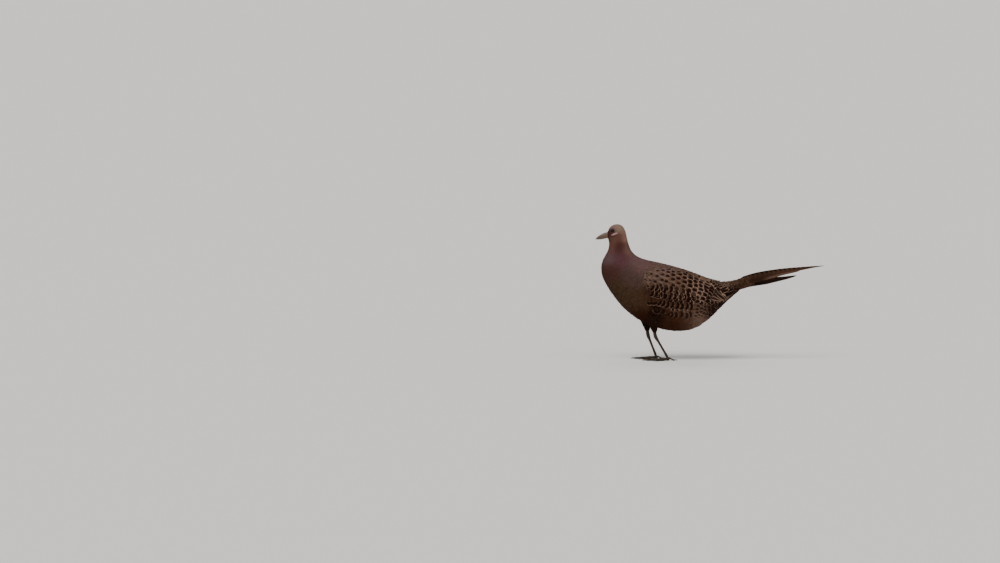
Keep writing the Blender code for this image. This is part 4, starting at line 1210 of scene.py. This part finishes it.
def fold_feathers(side_name, leg):
    """Feathers that cross the fold behind the drumstick and lie back on the belly."""
    coat = Coat(f"coat_fold_{side_name}")
    shift = (leg["knee"][0] + 21.0) / 2.3
    px, py = np.meshgrid(np.arange(650.5, 664, 2.3), np.arange(306.5, 324, 2.7), indexing="ij")
    px = px + 1.15 * (np.arange(py.shape[1]) % 2)[None]
    px, py = px.ravel(), py.ravel()
    grid = np.stack([uv_in(py, py.min() - 2, py.max() + 2), uv_in(px, px.min() - 2, px.max() + 2)], -1)
    n = len(px)
    p, nrm, _, _ = surface.project(from_side(px + shift + rng.uniform(-0.4, 0.4, n), py + rng.uniform(-0.4, 0.4, n), leg["side"]))
    way = np.tile((0.94, 0.0, -0.34), (n, 1)) + rng.uniform(-0.08, 0.08, (n, 3))
    way = unit(way - nrm * (way * nrm).sum(-1, keepdims=True))
    uv_size = np.tile((0.84 * 0.96 * 2.7 / (np.ptp(py) + 4), 0.84 * 0.96 * 1.15 / (np.ptp(px) + 4)), (n, 1))
    length, width = rng.uniform(15, 20, n), rng.uniform(9.5, 11.5, n)
    tone = ground_and_painted_shade(p + way * (0.7 * length)[:, None]) * rng.uniform(0.85, 1.15, (n, 1))
    mark, form = np.tile((0.1, 0.1, 0.0, 0.5), (n, 1)), np.tile((0.8, 0.13, 0.4), (n, 1))
    lay(coat, p, way, length, width, "round", 5, 2.2, 0.5, grid, uv_size, tone, mark, form, sizes_of(length, width), camber=0.16, roll=0.0,
        ragged=0.04, thick=0.22, fringe=9, fringe_len=1.8, follow=0.2)
    return coat


for side_name, leg in LEGS.items():
    coats[f"coat_fold_{side_name}"] = fold_feathers(side_name, leg)


# ---------------------------------------------------------------- legs and feet
def toe_path(leg, toe, ball):
    """A toe's centre line from the ball of the foot, the way it points and its radius there."""
    angle, length, radius, joints = TOES[toe]
    turn = math.radians(180 - leg["side"] * (angle + leg["turn"]))
    way = np.array([math.cos(turn), math.sin(turn), 0.0])
    if toe == "hind":
        rise = ((-0.6, 0.2), (0.3, -0.6), (0.65, -2.8), (1.0, -4.7))
    else:
        rise = ((-0.04, -1.5), (0.25, -2.5), (0.5, -3.1), (0.75, -3.7), (1.0, -4.4))
    return np.array([ball + way * length * max(f, -0.04 if toe != "hind" else 0.0) + (0, 0, dz) for f, dz in rise]), way, radius, joints


def leg_skin(leg):
    """Shank, ball and toes: a fine closed mesh with scutes in front, small scales behind and pads below."""
    p = leg_points(leg)
    low_thigh = p["hock"] + (p["knee"] - p["hock"]) * 0.26
    way = unit(p["hock"] - low_thigh)
    ball = p["ball"]
    shank_way = unit(ball - p["hock"])
    rows = [low_thigh - way * 4.0, p["hock"] + (0.6, 0, -0.6), p["hock"] * 0.72 + ball * 0.28, p["hock"] * 0.35 + ball * 0.65, ball - shank_way * 4.2]
    ts = np.linspace(0, 1, 40)
    radii = spline([[3.4], [4.2], [2.85], [2.7], [3.2]], ts)[:, 0]
    shank = spline(rows, ts)
    shells = [limb(shank, radii, count=32, across=(0, 1, 0), flat=0.94)]
    paths = [("shank", shank, radii, 1)]
    claw_at = {}
    for toe in TOES:
        points, way, radius, joints = toe_path(leg, toe, ball)
        ts = np.linspace(0, 1, 50)
        line = spline(points, ts)
        radii = radius * (1 - 0.34 * ts) * (1 + 0.10 * np.cos(2 * math.pi * ts * joints) * step(0.03, 0.1, ts))
        shells.append(limb(line, radii, count=28))
        paths.append((toe, line, radii, joints))
        ahead = unit(line[-1] - line[-2])
        claw_at[toe] = (line[-1], ahead, way, radii[-1])
    shells.append(limb([ball + (1.6, 0, -1.3), ball + (-0.4, 0, -1.6), ball + (-3.4, 0, -2.0)], [3.9, 4.4, 3.5], count=28))
    v, f = remesh(shells, 0.42, smooth=2)
    n = normals_of(v, f)
    best, seat = np.full(len(v), 1e9), np.zeros(len(v), int)
    run_at, top_at, kind = np.zeros(len(v)), np.zeros(len(v)), np.zeros(len(v), int)
    for i, (name, line, radii, joints) in enumerate(paths):
        run = np.concatenate([[0], np.cumsum(np.linalg.norm(np.diff(line, axis=0), axis=1))])
        for c in range(0, len(v), 8000):
            part = slice(c, c + 8000)
            d = np.linalg.norm(v[part, None] - line[None], axis=-1) - radii[None]
            k = d.argmin(1)
            score = d[np.arange(len(k)), k]
            better = score < best[part]
            rel = v[part] - line[k]
            way = unit(np.gradient(line, axis=0))[k]
            off = (rel * way).sum(-1)
            front = np.array((-1.0, 0, 0)) if name == "shank" else np.array((0.0, 0, 1.0))
            top = unit(rel - way * off[:, None]) @ front
            idx = np.arange(len(v))[part][better]
            best[idx], kind[idx], run_at[idx], top_at[idx] = score[better], i, (run[k] + off)[better], top[better]
    on_shank = kind == 0
    # broad scutes in front of the shank and on top of each toe
    gap = np.where(on_shank, 3.3, 2.1)
    half_row = np.where(on_shank & (n[:, 1] * leg["side"] > 0), 0.5, 0.0)
    phase = (run_at / gap + half_row) % 1.0
    scute = 1 - np.exp(-((np.minimum(phase, 1 - phase) / 0.075) ** 2))
    scute *= 0.75 + 0.25 * phase
    front = step(0.15, 0.45, top_at)
    # small scales elsewhere, in two slanting sets of lines
    ring = np.arctan2(n[:, 1], n[:, 2] + 1e-6) * 3.2
    g1, g2 = np.sin((run_at * 2.4 + ring * 1.2)), np.sin((run_at * 2.4 - ring * 1.2))
    small = 1 - np.exp(-((np.minimum(np.abs(g1), np.abs(g2)) / 0.35) ** 2))
    relief = front * scute * 0.20 + (1 - front) * small * 0.11
    v = v + n * (relief - 0.13)[:, None]
    v[:, 2] = np.interp(v[:, 2], (-1.0, 0.35, 1.2, 400.0), (0.0, 0.0, 1.2, 400.0))
    shade = 0.62 + 0.38 * (front * scute + (1 - front) * small)
    # painted shade: the skin darkens towards the floor, and the shank is a quarter darker on its back
    base = linear((58, 47, 39)) * (1 - 0.25 * step(6.0, 1.0, v[:, 2]))[:, None]
    base = base * np.where(on_shank, 1.0, 0.93)[:, None]
    colour = base * shade[:, None] * (1 - 0.25 * step(0.2, -0.5, top_at) * on_shank)[:, None]
    return v, f, colour, claw_at


def lids():
    """Eyelids and the folds round them: for each side, rings from the lid's edge out to the cheek."""
    out = []
    for sign in (-1, 1):
        axis = eye_axis(sign)
        ahead, up = eye_ways(sign)
        centre = eye_seat(sign)
        th = np.arange(96) * 2 * math.pi / 96
        # the opening is a little longer than high, with a corner in front and one behind
        rx, rz = 4.05, np.where(np.sin(th) > 0, 3.45, 3.35)
        pinch = 1 + 0.07 * np.abs(np.cos(th)) ** 8
        ex, ez = rx * np.cos(th) * pinch, rz * np.sin(th)
        rings = []
        # how far out from the opening's edge, how high, and how far it has passed from the eyeball's surface to the head's
        for d, h, on_head in ((0.0, -0.7, 0), (-0.12, 0.05, 0), (0.0, 0.32, 0), (0.25, 0.42, 0.05), (0.48, 0.34, 0.22), (0.66, 0.14, 0.42), (0.9, 0.24, 0.68),
                              (1.2, 0.10, 0.9), (1.6, -0.14, 1), (2.1, -0.6, 1), (2.8, -1.5, 1), (3.4, -3.0, 0), (1.5, -2.6, 0)):
            grow = 1 + d / np.hypot(ex, ez)
            x, z = ex * grow, ez * grow
            r = np.hypot(x, z)
            y = np.where(r < 4.9, np.sqrt(np.maximum(EYE_R ** 2 - np.minimum(r, 4.9) ** 2, 0.0)), 1.42 - (r - 4.9) * 0.34)
            ring = centre + ahead * x[:, None] + up * z[:, None] + axis * (y + h)[:, None]
            if on_head:
                # further out the folds lie on the head and sink under its feathers
                near, normal, _, _ = surface.project(ring)
                ring = ring * (1 - on_head) + (near + normal * h) * on_head
            rings.append(ring)
        rings = np.stack(rings)
        m, k = len(rings), len(th)
        faces = [(i * k + j, i * k + (j + 1) % k, ((i + 1) % m) * k + (j + 1) % k, ((i + 1) % m) * k + j) for i in range(m) for j in range(k)]
        out.append((rings.reshape(-1, 3), faces))
    return out


def colour_mesh(name, v, f, colour):
    mesh = raw_mesh(name, (v - (ORIGIN_X, 0, 0)) * MM, f)
    data = np.concatenate([colour, np.ones((len(v), 1))], 1).astype(np.float32)
    mesh.attributes.new("tone", "FLOAT_COLOR", "POINT").data.foreach_set("color", data.ravel())
    mesh.validate()
    return add_object(name, mesh)


def skin_and_painted_shade(v, n):
    """The skin's colour: the coat's ground colour and marks, darkened as painted shade seen between the vanes."""
    # painted shade: 0.62 of the coat's colour, as the shade between the vanes
    c = ground_and_painted_shade(v) * 0.62
    spot, edge, bar, _ = pattern(v, n[:, 2])
    return c * (1 - 0.45 * np.clip(spot + bar, 0, 1))[:, None]


skin_shells = [body_shell(depth_of)]
skin_shells += [wing_shell(sign, -1.2, 6.0) for sign in (-1, 1)]
for leg in LEGS.values():
    path, radii = thigh_path(leg, 24)
    skin_shells.append(limb(path, np.maximum(radii - np.interp(radii, (5, 17), (1.4, 3.0)), 3.2), count=24, across=(0, 1, 0)))
skin_v, skin_f = remesh(skin_shells, 1.5, smooth=3)
skin = colour_mesh("skin", skin_v, skin_f, skin_and_painted_shade(skin_v, normals_of(skin_v, skin_f)))

joined, claw_places = [], {}
for side_name, leg in LEGS.items():
    v, f, colour, claw_places[side_name] = leg_skin(leg)
    joined.append(colour_mesh(f"leg_{side_name}", v, f, colour))
for i, (p, f) in enumerate(lids()):
    v, q = remesh([(p, f)], 0.16, smooth=1)
    joined.append(colour_mesh(f"lid_{i}", v, q, np.tile(linear((58, 31, 29)), (len(v), 1)) * (0.8 + 0.4 * rng.uniform(0, 1, (len(v), 1)))))
for obj in joined:
    mod = skin.modifiers.new(obj.name, "BOOLEAN")
    mod.operation, mod.solver, mod.object = "UNION", "MANIFOLD", obj
made = bpy.data.meshes.new_from_object(skin.evaluated_get(bpy.context.evaluated_depsgraph_get()))
print("SKIN", len(skin.data.vertices), [len(o.data.vertices) for o in joined], len(made.vertices), made.attributes.get("tone") is not None)
skin.modifiers.clear()


def points_and_tones(mesh):
    n = len(mesh.vertices)
    co, tone = np.empty(n * 3, np.float32), np.empty(n * 4, np.float32)
    mesh.vertices.foreach_get("co", co)
    mesh.attributes["tone"].data.foreach_get("color", tone)
    return co.reshape(-1, 3), tone.reshape(-1, 4)


# new corners where the parts meet take the colour of the nearest old one
old = [points_and_tones(o.data) for o in [skin, *joined]]
old_co, old_tone = np.concatenate([o[0] for o in old]), np.concatenate([o[1] for o in old])
kd = KDTree(len(old_co))
for i, p in enumerate(old_co.tolist()):
    kd.insert(p, i)
kd.balance()
co = np.empty(len(made.vertices) * 3, np.float32)
made.vertices.foreach_get("co", co)
pick = np.array([kd.find(p)[1] for p in co.reshape(-1, 3).tolist()])
made.attributes["tone"].data.foreach_set("color", old_tone[pick].ravel())
skin.data = made
for obj in joined:
    bpy.data.objects.remove(obj)
skin.data.shade_smooth()


# ---------------------------------------------------------------- bill, claws and eyes
def bill_piece(name, upper):
    n, m = 64, 44
    f = np.linspace(0, 1, n)
    cul, tom, gon = spline(CULMEN, f), spline(TOMIUM, f), spline(GONYS, f)
    # rounded off at the tip
    w = spline(BILL_W, f)[:, 0] * np.sqrt(np.clip(1 - (np.clip(f - 0.86, 0, 1) / 0.14) ** 2, 0.03, 1))
    close = np.sqrt(np.clip(1 - (np.clip(f - 0.92, 0, 1) / 0.08) ** 2, 0.02, 1))
    phi = np.linspace(-math.pi / 2, math.pi / 2, m)
    rings = []
    for i in range(n):
        crown = cul[i] if upper else gon[i]
        edge = tom[i] + ((0, -0.18) if upper else (0, 0.55))
        if upper:
            edge = crown + (edge - crown) * close[i]
        wi = w[i] * (1.0 if upper else 0.90)
        c, s = np.cos(phi), np.sin(phi)
        lift = c ** (0.95 if upper else 0.8)
        x, z = edge[0] + (crown[0] - edge[0]) * lift, edge[1] + (crown[1] - edge[1]) * lift
        y = wi * np.sign(s) * np.abs(s) ** (0.85 if upper else 0.8)
        if upper:
            # the edge turns in below, and the nostril lies under a swollen flap near the base
            for sgn in (-1, 1):
                dx, dz = x + 130.6, z - 289.4
                flap = np.exp(-((dx / 2.4) ** 2) - ((dz - 0.9) / 1.15) ** 2) * (np.sign(y) == sgn)
                slit = np.exp(-((dx + 0.4) / 1.7) ** 2 - ((dz + 0.55 + 0.12 * dx) / 0.34) ** 2) * (np.sign(y) == sgn)
                y = y + sgn * (0.55 * flap - 1.0 * slit)
        ring = np.stack([x, y, z], -1)
        inner = np.linspace(1, -1, 10)[1:-1]
        depth = min(0.8, 0.45 * (crown[1] - edge[1])) if upper else -min(0.5, max(0.02, 0.45 * (edge[1] - crown[1])))
        floor = np.stack([np.full(8, edge[0]), inner * wi * 0.82, edge[1] + depth * np.sqrt(1 - inner ** 2)], -1)
        rings.append(np.concatenate([ring, floor]))
    rings = np.array(rings)
    base = rings[0] + (4.0, 0, 0.8 if upper else -0.2)
    base[:, 1] *= 0.86
    rings = np.concatenate([[base], rings])
    pts, faces = tube(rings)
    mesh = raw_mesh(name, (pts - (ORIGIN_X, 0, 0)) * MM, faces)
    x, z = pts[:, 0], pts[:, 2]
    slit = np.exp(-((x + 131.0) / 1.7) ** 2 - ((z - 288.85 + 0.12 * (x + 130.6)) / 0.36) ** 2)
    ridge_z = np.interp(-x, -spline(CULMEN, f)[:, 0], spline(CULMEN, f)[:, 1])
    tom_z = np.interp(-x, -tom[:, 0], tom[:, 1])
    up = np.clip((z - tom_z) / np.maximum(ridge_z - tom_z, 0.5), 0, 1) if upper else np.zeros(len(x))
    toward_tip = np.clip((-x - 125.5) / 28.0, 0, 1)
    base_c, tip_c, top_c = linear((92, 70, 53)), linear((72, 54, 41)), linear((70, 52, 40))
    colour = base_c * (1 - toward_tip)[:, None] + tip_c * toward_tip[:, None]
    colour = colour * (1 - 0.6 * up ** 2)[:, None] + top_c * (0.6 * up ** 2)[:, None]
    if not upper:
        colour = colour * 1.08
    colour = colour * (1 - 0.85 * slit * upper)[:, None]
    data = np.concatenate([colour, np.ones((len(x), 1))], 1).astype(np.float32)
    mesh.attributes.new("tone", "FLOAT_COLOR", "POINT").data.foreach_set("color", data.ravel())
    mesh.shade_smooth()
    mesh.set_sharp_from_angle(angle=math.radians(50))
    return add_object(name, mesh)


def claws_piece(side_name, leg):
    shells, off, verts, faces = [], 0, [], []
    for toe, (tip, ahead, way, end_r) in claw_places[side_name].items():
        start = tip + ahead * (end_r * 0.1)
        start0 = tip + ahead * (end_r * 0.45 + 0.35 + end_r * 0.36)
        reach = CLAW[toe]
        lift = 1.0 if toe == "hind" else 0.45
        curve = [start + (0, 0, 0.15), start0 + (0, 0, lift), start0 + way * reach * 0.45 + (0, 0, 0.25 + lift), start0 + way * reach * 0.8 + (0, 0, -0.5 + lift), start0 + way * reach + (0, 0, -1.25 + lift)]
        ts = np.linspace(0, 1, 18)
        line = spline(curve, ts)
        r = end_r * 0.80 * (1 - 0.82 * ts ** 1.25)
        line[:, 2] = np.maximum(line[:, 2], r * 1.02)
        p, f = limb(line, r, count=18, flat=1.12)
        verts.append(p)
        faces += [tuple(i + off for i in q) for q in f]
        off += len(p)
    v = np.concatenate(verts)
    v[:, 2] = np.maximum(v[:, 2], 0.02)
    mesh = raw_mesh(f"claws_{side_name}", (v - (ORIGIN_X, 0, 0)) * MM, faces)
    mesh.shade_smooth()
    mesh.set_sharp_from_angle(angle=math.radians(60))
    return add_object(f"claws_{side_name}", mesh)


def eye_piece(side_name, sign):
    axis = eye_axis(sign)
    side = unit(np.cross(axis, (0, 0, 1.0)))
    up = np.cross(side, axis)
    centre = eye_seat(sign)
    th = np.arange(64) * 2 * math.pi / 64
    rings, info = [], []
    for a in np.radians(np.concatenate([[0.4], np.linspace(3, 74, 44), np.linspace(80, 179.6, 16)])):
        # the clear front bulges a little over the iris
        r = EYE_R + 0.22 * math.exp(-((a / 0.72) ** 2)) - 0.05
        rings.append(centre + r * (math.cos(a) * axis + math.sin(a) * (np.cos(th)[:, None] * side + np.sin(th)[:, None] * up)))
        info.append(np.full(len(th), math.degrees(a)))
    pts, faces = tube(np.array(rings))
    info = np.concatenate(info)
    mesh = raw_mesh(f"eyeball_{side_name}", (pts - (ORIGIN_X, 0, 0)) * MM, faces)
    turn = np.tile(th, len(rings))
    streak = 0.5 + 0.5 * np.sin(turn * 31 + 1.3 * np.sin(turn * 7))
    pupil = step(27, 24.5, info)
    rim = step(46, 54, info)
    iris = linear((38, 18, 13))[None] * (0.75 + 0.45 * streak * step(22, 30, info) * (1 - rim))[:, None] + linear((24, 12, 8)) * (step(30, 24, info) * (1 - pupil) * 0.5)[:, None]
    colour = iris * (1 - pupil)[:, None] + linear((6, 5, 5)) * pupil[:, None]
    colour = colour * (1 - rim)[:, None] + linear((24, 16, 13)) * rim[:, None]
    data = np.concatenate([colour, np.ones((len(pts), 1))], 1).astype(np.float32)
    mesh.attributes.new("tone", "FLOAT_COLOR", "POINT").data.foreach_set("color", data.ravel())
    mesh.shade_smooth()
    return add_object(f"eyeball_{side_name}", mesh)


# ---------------------------------------------------------------- materials
class Graph:
    """A material whose colour is worked out with small sums."""

    def __init__(self, name, rough, specular=0.4, sheen=0.0):
        self.mat = bpy.data.materials.new(name)
        self.mat.use_nodes = True
        self.nodes, self.links = self.mat.node_tree.nodes, self.mat.node_tree.links
        self.shader = self.nodes["Principled BSDF"]
        self.shader.inputs["Roughness"].default_value = rough
        self.shader.inputs["Specular IOR Level"].default_value = specular
        self.shader.inputs["Sheen Weight"].default_value = sheen
        self.shader.inputs["Sheen Roughness"].default_value = 0.5

    def put(self, socket, value):
        if isinstance(value, (int, float)):
            socket.default_value = value
        elif isinstance(value, (tuple, list, np.ndarray)):
            v = list(value)
            socket.default_value = v + [1.0] if len(v) == 3 and len(socket.default_value) == 4 else v
        else:
            self.links.new(value, socket)

    def attribute(self, name):
        node = self.nodes.new("ShaderNodeAttribute")
        node.attribute_name = name
        return node.outputs

    def split(self, vector):
        node = self.nodes.new("ShaderNodeSeparateXYZ")
        self.put(node.inputs[0], vector)
        return node.outputs[0], node.outputs[1], node.outputs[2]

    def join(self, x, y, z):
        node = self.nodes.new("ShaderNodeCombineXYZ")
        for k, v in enumerate((x, y, z)):
            self.put(node.inputs[k], v)
        return node.outputs[0]

    def m(self, op, a, b=0.0, clamp=False):
        node = self.nodes.new("ShaderNodeMath")
        node.operation, node.use_clamp = op, clamp
        self.put(node.inputs[0], a)
        self.put(node.inputs[1], b)
        return node.outputs[0]

    def soft(self, x, lo, hi, to_lo=0.0, to_hi=1.0):
        node = self.nodes.new("ShaderNodeMapRange")
        node.interpolation_type = "SMOOTHSTEP"
        for k, v in zip(("Value", "From Min", "From Max", "To Min", "To Max"), (x, lo, hi, to_lo, to_hi)):
            self.put(node.inputs[k], v)
        return node.outputs[0]

    def mix(self, f, a, b, blend="MIX"):
        node = self.nodes.new("ShaderNodeMix")
        node.data_type, node.blend_type = "RGBA", blend
        self.put(node.inputs[0], f)
        self.put(node.inputs[6], a)
        self.put(node.inputs[7], b)
        return node.outputs[2]

    def scale(self, colour, k):
        node = self.nodes.new("ShaderNodeVectorMath")
        node.operation = "SCALE"
        self.put(node.inputs[0], colour)
        self.put(node.inputs[3], k)
        return node.outputs[0]

    def noise(self, vector, size, detail=2.0):
        node = self.nodes.new("ShaderNodeTexNoise")
        self.put(node.inputs["Vector"], vector)
        self.put(node.inputs["Scale"], size)
        self.put(node.inputs["Detail"], detail)
        return node.outputs[0]

    def place(self):
        return self.nodes.new("ShaderNodeTexCoord").outputs["Object"]

    def colour(self, value):
        self.put(self.shader.inputs["Base Color"], value)

    def bump(self, height, distance, strength=1.0):
        node = self.nodes.new("ShaderNodeBump")
        self.put(node.inputs["Height"], height)
        node.inputs["Distance"].default_value = distance
        node.inputs["Strength"].default_value = strength
        self.links.new(node.outputs[0], self.shader.inputs["Normal"])


DARK = linear((23, 9, 4))
PALE = linear((160, 130, 112))


def feather_material(name, rough, dark=DARK, pale=PALE, specular=0.02, sheen=0.0):
    g = Graph(name, rough, specular, sheen)
    s, t, dice = g.split(g.attribute("vane")["Vector"])
    mark = g.attribute("mark")
    spot, edge, bar = g.split(mark["Color"])
    centre, reach, wide = g.split(g.attribute("form")["Vector"])
    length, half, period = g.split(g.attribute("bars")["Vector"])
    tone = g.attribute("tone")["Color"]
    at = g.m("ABSOLUTE", t)
    mm_s, mm_t = g.m("MULTIPLY", s, length), g.m("MULTIPLY", at, half)
    wild = g.noise(g.join(g.m("MULTIPLY", mm_s, 0.16), g.m("MULTIPLY", mm_t, 0.3), g.m("MULTIPLY", dice, 90.0)), 1.0)
    wild = g.m("SUBTRACT", wild, 0.5)
    # barbs run out and towards the tip
    barb = g.m("SINE", g.m("MULTIPLY", g.m("ADD", g.m("SUBTRACT", mm_s, g.m("MULTIPLY", mm_t, 0.8)), g.m("MULTIPLY", wild, 0.8)), 11.5))
    # dark centre
    a = g.m("POWER", g.m("ABSOLUTE", g.m("DIVIDE", g.m("SUBTRACT", s, centre), reach)), 2.0)
    b = g.m("POWER", g.m("DIVIDE", at, wide), 2.0)
    r = g.m("ADD", g.m("SQRT", g.m("ADD", a, b)), g.m("ADD", g.m("MULTIPLY", wild, 1.1), g.m("MULTIPLY", barb, 0.05)))
    spot = g.m("MULTIPLY", spot, g.soft(r, 0.74, 1.16, 1.0, 0.0))
    # pale rim
    rim = g.m("MAXIMUM", g.soft(g.m("ADD", at, g.m("MULTIPLY", wild, 0.12)), 0.66, 0.86), g.soft(g.m("ADD", s, g.m("MULTIPLY", wild, 0.05)), 0.925, 0.965))
    edge = g.m("MULTIPLY", edge, g.m("MULTIPLY", rim, g.soft(s, 0.35, 0.55)))
    # one dark crescent before the tip, on the shorter feathers
    bent = g.m("ADD", g.m("ADD", s, g.m("MULTIPLY", g.m("POWER", at, 2.0), 0.05)), g.m("MULTIPLY", wild, 0.10))
    crescent = g.m("MULTIPLY", g.soft(bent, 0.70, 0.735), g.soft(bent, 0.895, 0.925, 1.0, 0.0))
    crescent = g.m("MULTIPLY", crescent, g.soft(at, 0.80, 0.98, 1.0, 0.0))
    # bars all along, on the long ones
    turn = g.m("FRACT", g.m("DIVIDE", g.m("ADD", g.m("ADD", mm_s, g.m("MULTIPLY", mm_t, 0.35)), g.m("MULTIPLY", wild, 3.0)), g.m("MAXIMUM", period, 0.5)))
    along = g.m("MULTIPLY", g.soft(turn, 0.04, 0.12), g.soft(turn, 0.42, 0.56, 1.0, 0.0))
    along = g.m("MULTIPLY", along, g.soft(t, -0.32, 0.0, 1.0, 0.06))
    paler = g.m("MULTIPLY", g.soft(turn, 0.54, 0.64), g.soft(turn, 0.74, 0.87, 1.0, 0.0))
    paler = g.m("MULTIPLY", paler, g.soft(t, -0.32, 0.0, 1.0, 0.15))
    is_long = g.soft(period, 0.4, 0.6)
    bars = g.m("MULTIPLY", bar, g.m("ADD", g.m("MULTIPLY", is_long, along), g.m("MULTIPLY", g.m("SUBTRACT", 1.0, is_long), crescent)))
    lighter = g.m("MULTIPLY", g.m("MULTIPLY", bar, is_long), g.m("MULTIPLY", paler, 0.07))
    # the vane's own unevenness, the darker down at its root, which also stands as painted shade where the vanes
    # overlap, and the shaft
    value = g.m("ADD", 1.0, g.m("ADD", g.m("MULTIPLY", wild, 0.5), g.m("MULTIPLY", barb, 0.035)))
    value = g.m("MULTIPLY", value, g.soft(s, 0.25, 0.55, 0.6, 1.0))
    c = g.scale(tone, value)
    c = g.mix(lighter, c, tuple(pale))
    c = g.mix(g.m("MULTIPLY", edge, 0.78), c, tuple(pale))
    c = g.mix(g.m("MAXIMUM", spot, bars), c, tuple(dark))
    shaft = g.m("MULTIPLY", g.soft(g.m("MULTIPLY", at, half), 0.18, 0.42, 1.0, 0.0), g.soft(half, 3.5, 6.0))
    c = g.mix(g.m("MULTIPLY", g.m("MULTIPLY", shaft, g.soft(s, 0.98, 0.75)), 0.09), c, tuple(pale * 0.7))
    g.colour(c)
    g.bump(g.m("ADD", g.m("MULTIPLY", barb, 0.4), g.m("MULTIPLY", wild, 1.2)), 0.00016, 0.5)
    return g.mat


def tone_material(name, rough, specular=0.4, bump=None, coat=0.0, vary=0.2):
    g = Graph(name, rough, specular)
    place = g.place()
    tone = g.attribute("tone")["Color"]
    n = g.noise(place, 900.0, 3.0)
    g.colour(g.scale(tone, g.soft(n, 0.25, 0.75, 1 - vary, 1 + vary)))
    if bump:
        g.bump(g.noise(place, bump[0], 3.0), bump[1], bump[2])
    if coat:
        g.shader.inputs["Coat Weight"].default_value = coat
        g.shader.inputs["Coat Roughness"].default_value = 0.03
    return g.mat


claw_mat = Graph("claw", 0.42, 0.5)
claw_mat.colour(claw_mat.mix(claw_mat.soft(claw_mat.noise(claw_mat.place(), 500.0), 0.3, 0.7), tuple(linear((52, 43, 36))), tuple(linear((80, 68, 56)))))

PLUMAGE = {
    "coat_head": ("plumage_head", 0.72), "coat_face": ("plumage_head", 0.72), "coat_rump": ("plumage_breast", 0.66),
    "coat_fold_left": ("plumage_belly", 0.80), "coat_fold_right": ("plumage_belly", 0.80), "coat_neck": ("plumage_neck", 0.68), "coat_collar": ("plumage_neck", 0.68), "coat_breast": ("plumage_breast", 0.70),
    "coat_back": ("plumage_breast", 0.66), "coat_belly": ("plumage_belly", 0.80), "coat_flank_left": ("plumage_breast", 0.68),
    "coat_flank_right": ("plumage_breast", 0.68), "coat_wing_left": ("plumage_wing", 0.60), "coat_wing_right": ("plumage_wing", 0.60),
    "coat_bars_left": ("plumage_breast", 0.68), "coat_bars_right": ("plumage_breast", 0.68), "coat_flight_left": ("plumage_wing", 0.55), "coat_flight_right": ("plumage_wing", 0.55), "coat_tail": ("plumage_tail", 0.55), "coat_coverts": ("plumage_tail", 0.62),
    "coat_thigh_left": ("plumage_belly", 0.8), "coat_thigh_right": ("plumage_belly", 0.8),
}
mats = {}
total = 0
for name, coat in coats.items():
    slot, rough = PLUMAGE[name]
    if (slot, rough) not in mats:
        mats[slot, rough] = feather_material(f"{slot}_{int(rough * 100)}", rough)
    obj = coat.finish(mats[slot, rough])
    coats[name] = obj
    total += coat.triangles()
    print("COAT", name, coat.triangles())
print("COATS", total)

skin.data.materials.clear()
skin.data.materials.append(tone_material("skin", 0.62, 0.16, bump=(1800.0, 0.00012, 0.5), vary=0.14))
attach(skin, "root")
sides = ("left", "right")
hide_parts("head", "neck", "trunk", "tail_coverts", *[f"{n}_{s}" for n in ("wing", "thigh", "shank", "foot") for s in sides])
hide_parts("tail_centre", "tail_left", "tail_right")

horn = tone_material("horn", 0.38, 0.5, bump=(1200.0, 0.00006, 0.4), vary=0.12)
for name, upper in (("bill_upper", True), ("bill_lower", False)):
    obj = bill_piece(f"horn_{name}", upper)
    obj.data.materials.append(horn)
    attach(obj, "root")
    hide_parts(name)
wet = tone_material("wet_eye", 0.10, 0.15, vary=0.06)
for side_name, sign in (("left", -1), ("right", 1)):
    obj = eye_piece(side_name, sign)
    obj.data.materials.append(wet)
    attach(obj, "root")
    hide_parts(f"eye_{side_name}")
    obj = claws_piece(side_name, LEGS[side_name])
    obj.data.materials.append(claw_mat.mat)
    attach(obj, "root")
    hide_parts(*[f"claw_{side_name}_{toe}" for toe in TOES])

# ---------------------------------------------------------------- floor, light and camera
mesh = raw_mesh("floor", [(-80, -80, 0), (80, -80, 0), (80, 80, 0), (-80, 80, 0)], [(0, 1, 2, 3)])
floor = add_object("floor", mesh)
g = Graph("floor", 0.85, 0.2)
g.colour((0.78, 0.77, 0.755))
mesh.materials.append(g.mat)

world = bpy.data.worlds.new("studio")
bpy.context.scene.world = world
world.use_nodes = True
world.node_tree.nodes["Background"].inputs["Color"].default_value = (0.98, 0.97, 0.96, 1.0)
world.node_tree.nodes["Background"].inputs["Strength"].default_value = 0.42


def sun(name, way, angle, power, colour):
    light = bpy.data.lights.new(name, "SUN")
    light.angle, light.energy, light.color = math.radians(angle), power, colour
    obj = bpy.data.objects.new(name, light)
    bpy.context.scene.collection.objects.link(obj)
    obj.rotation_mode = "QUATERNION"
    obj.rotation_quaternion = Vector(way).to_track_quat("-Z", "Y")
    return obj


sun("key", (0.45, 0.62, -1.0), 38, 2.5, (1.0, 0.975, 0.94))
sun("fill", (-0.75, 0.9, -0.55), 60, 0.55, (1.0, 0.985, 0.97))
sun("back", (0.1, -0.9, -0.9), 50, 0.5, (1.0, 0.98, 0.95))

cam = bpy.data.objects.new("camera", bpy.data.cameras.new("camera"))
bpy.context.scene.collection.objects.link(cam)
bpy.context.scene.camera = cam
cam.data.lens, cam.data.sensor_width = 300, 36
cam.data.clip_end = 300
rise = math.radians(4.0)
target = Vector((-0.4826, 0.0, 0.1806))
cam.location = target + Vector((0, -math.cos(rise), math.sin(rise))) * 19.17
cam.rotation_mode = "QUATERNION"
cam.rotation_quaternion = (target - cam.location).to_track_quat("-Z", "Y")

bpy.context.view_layer.update()
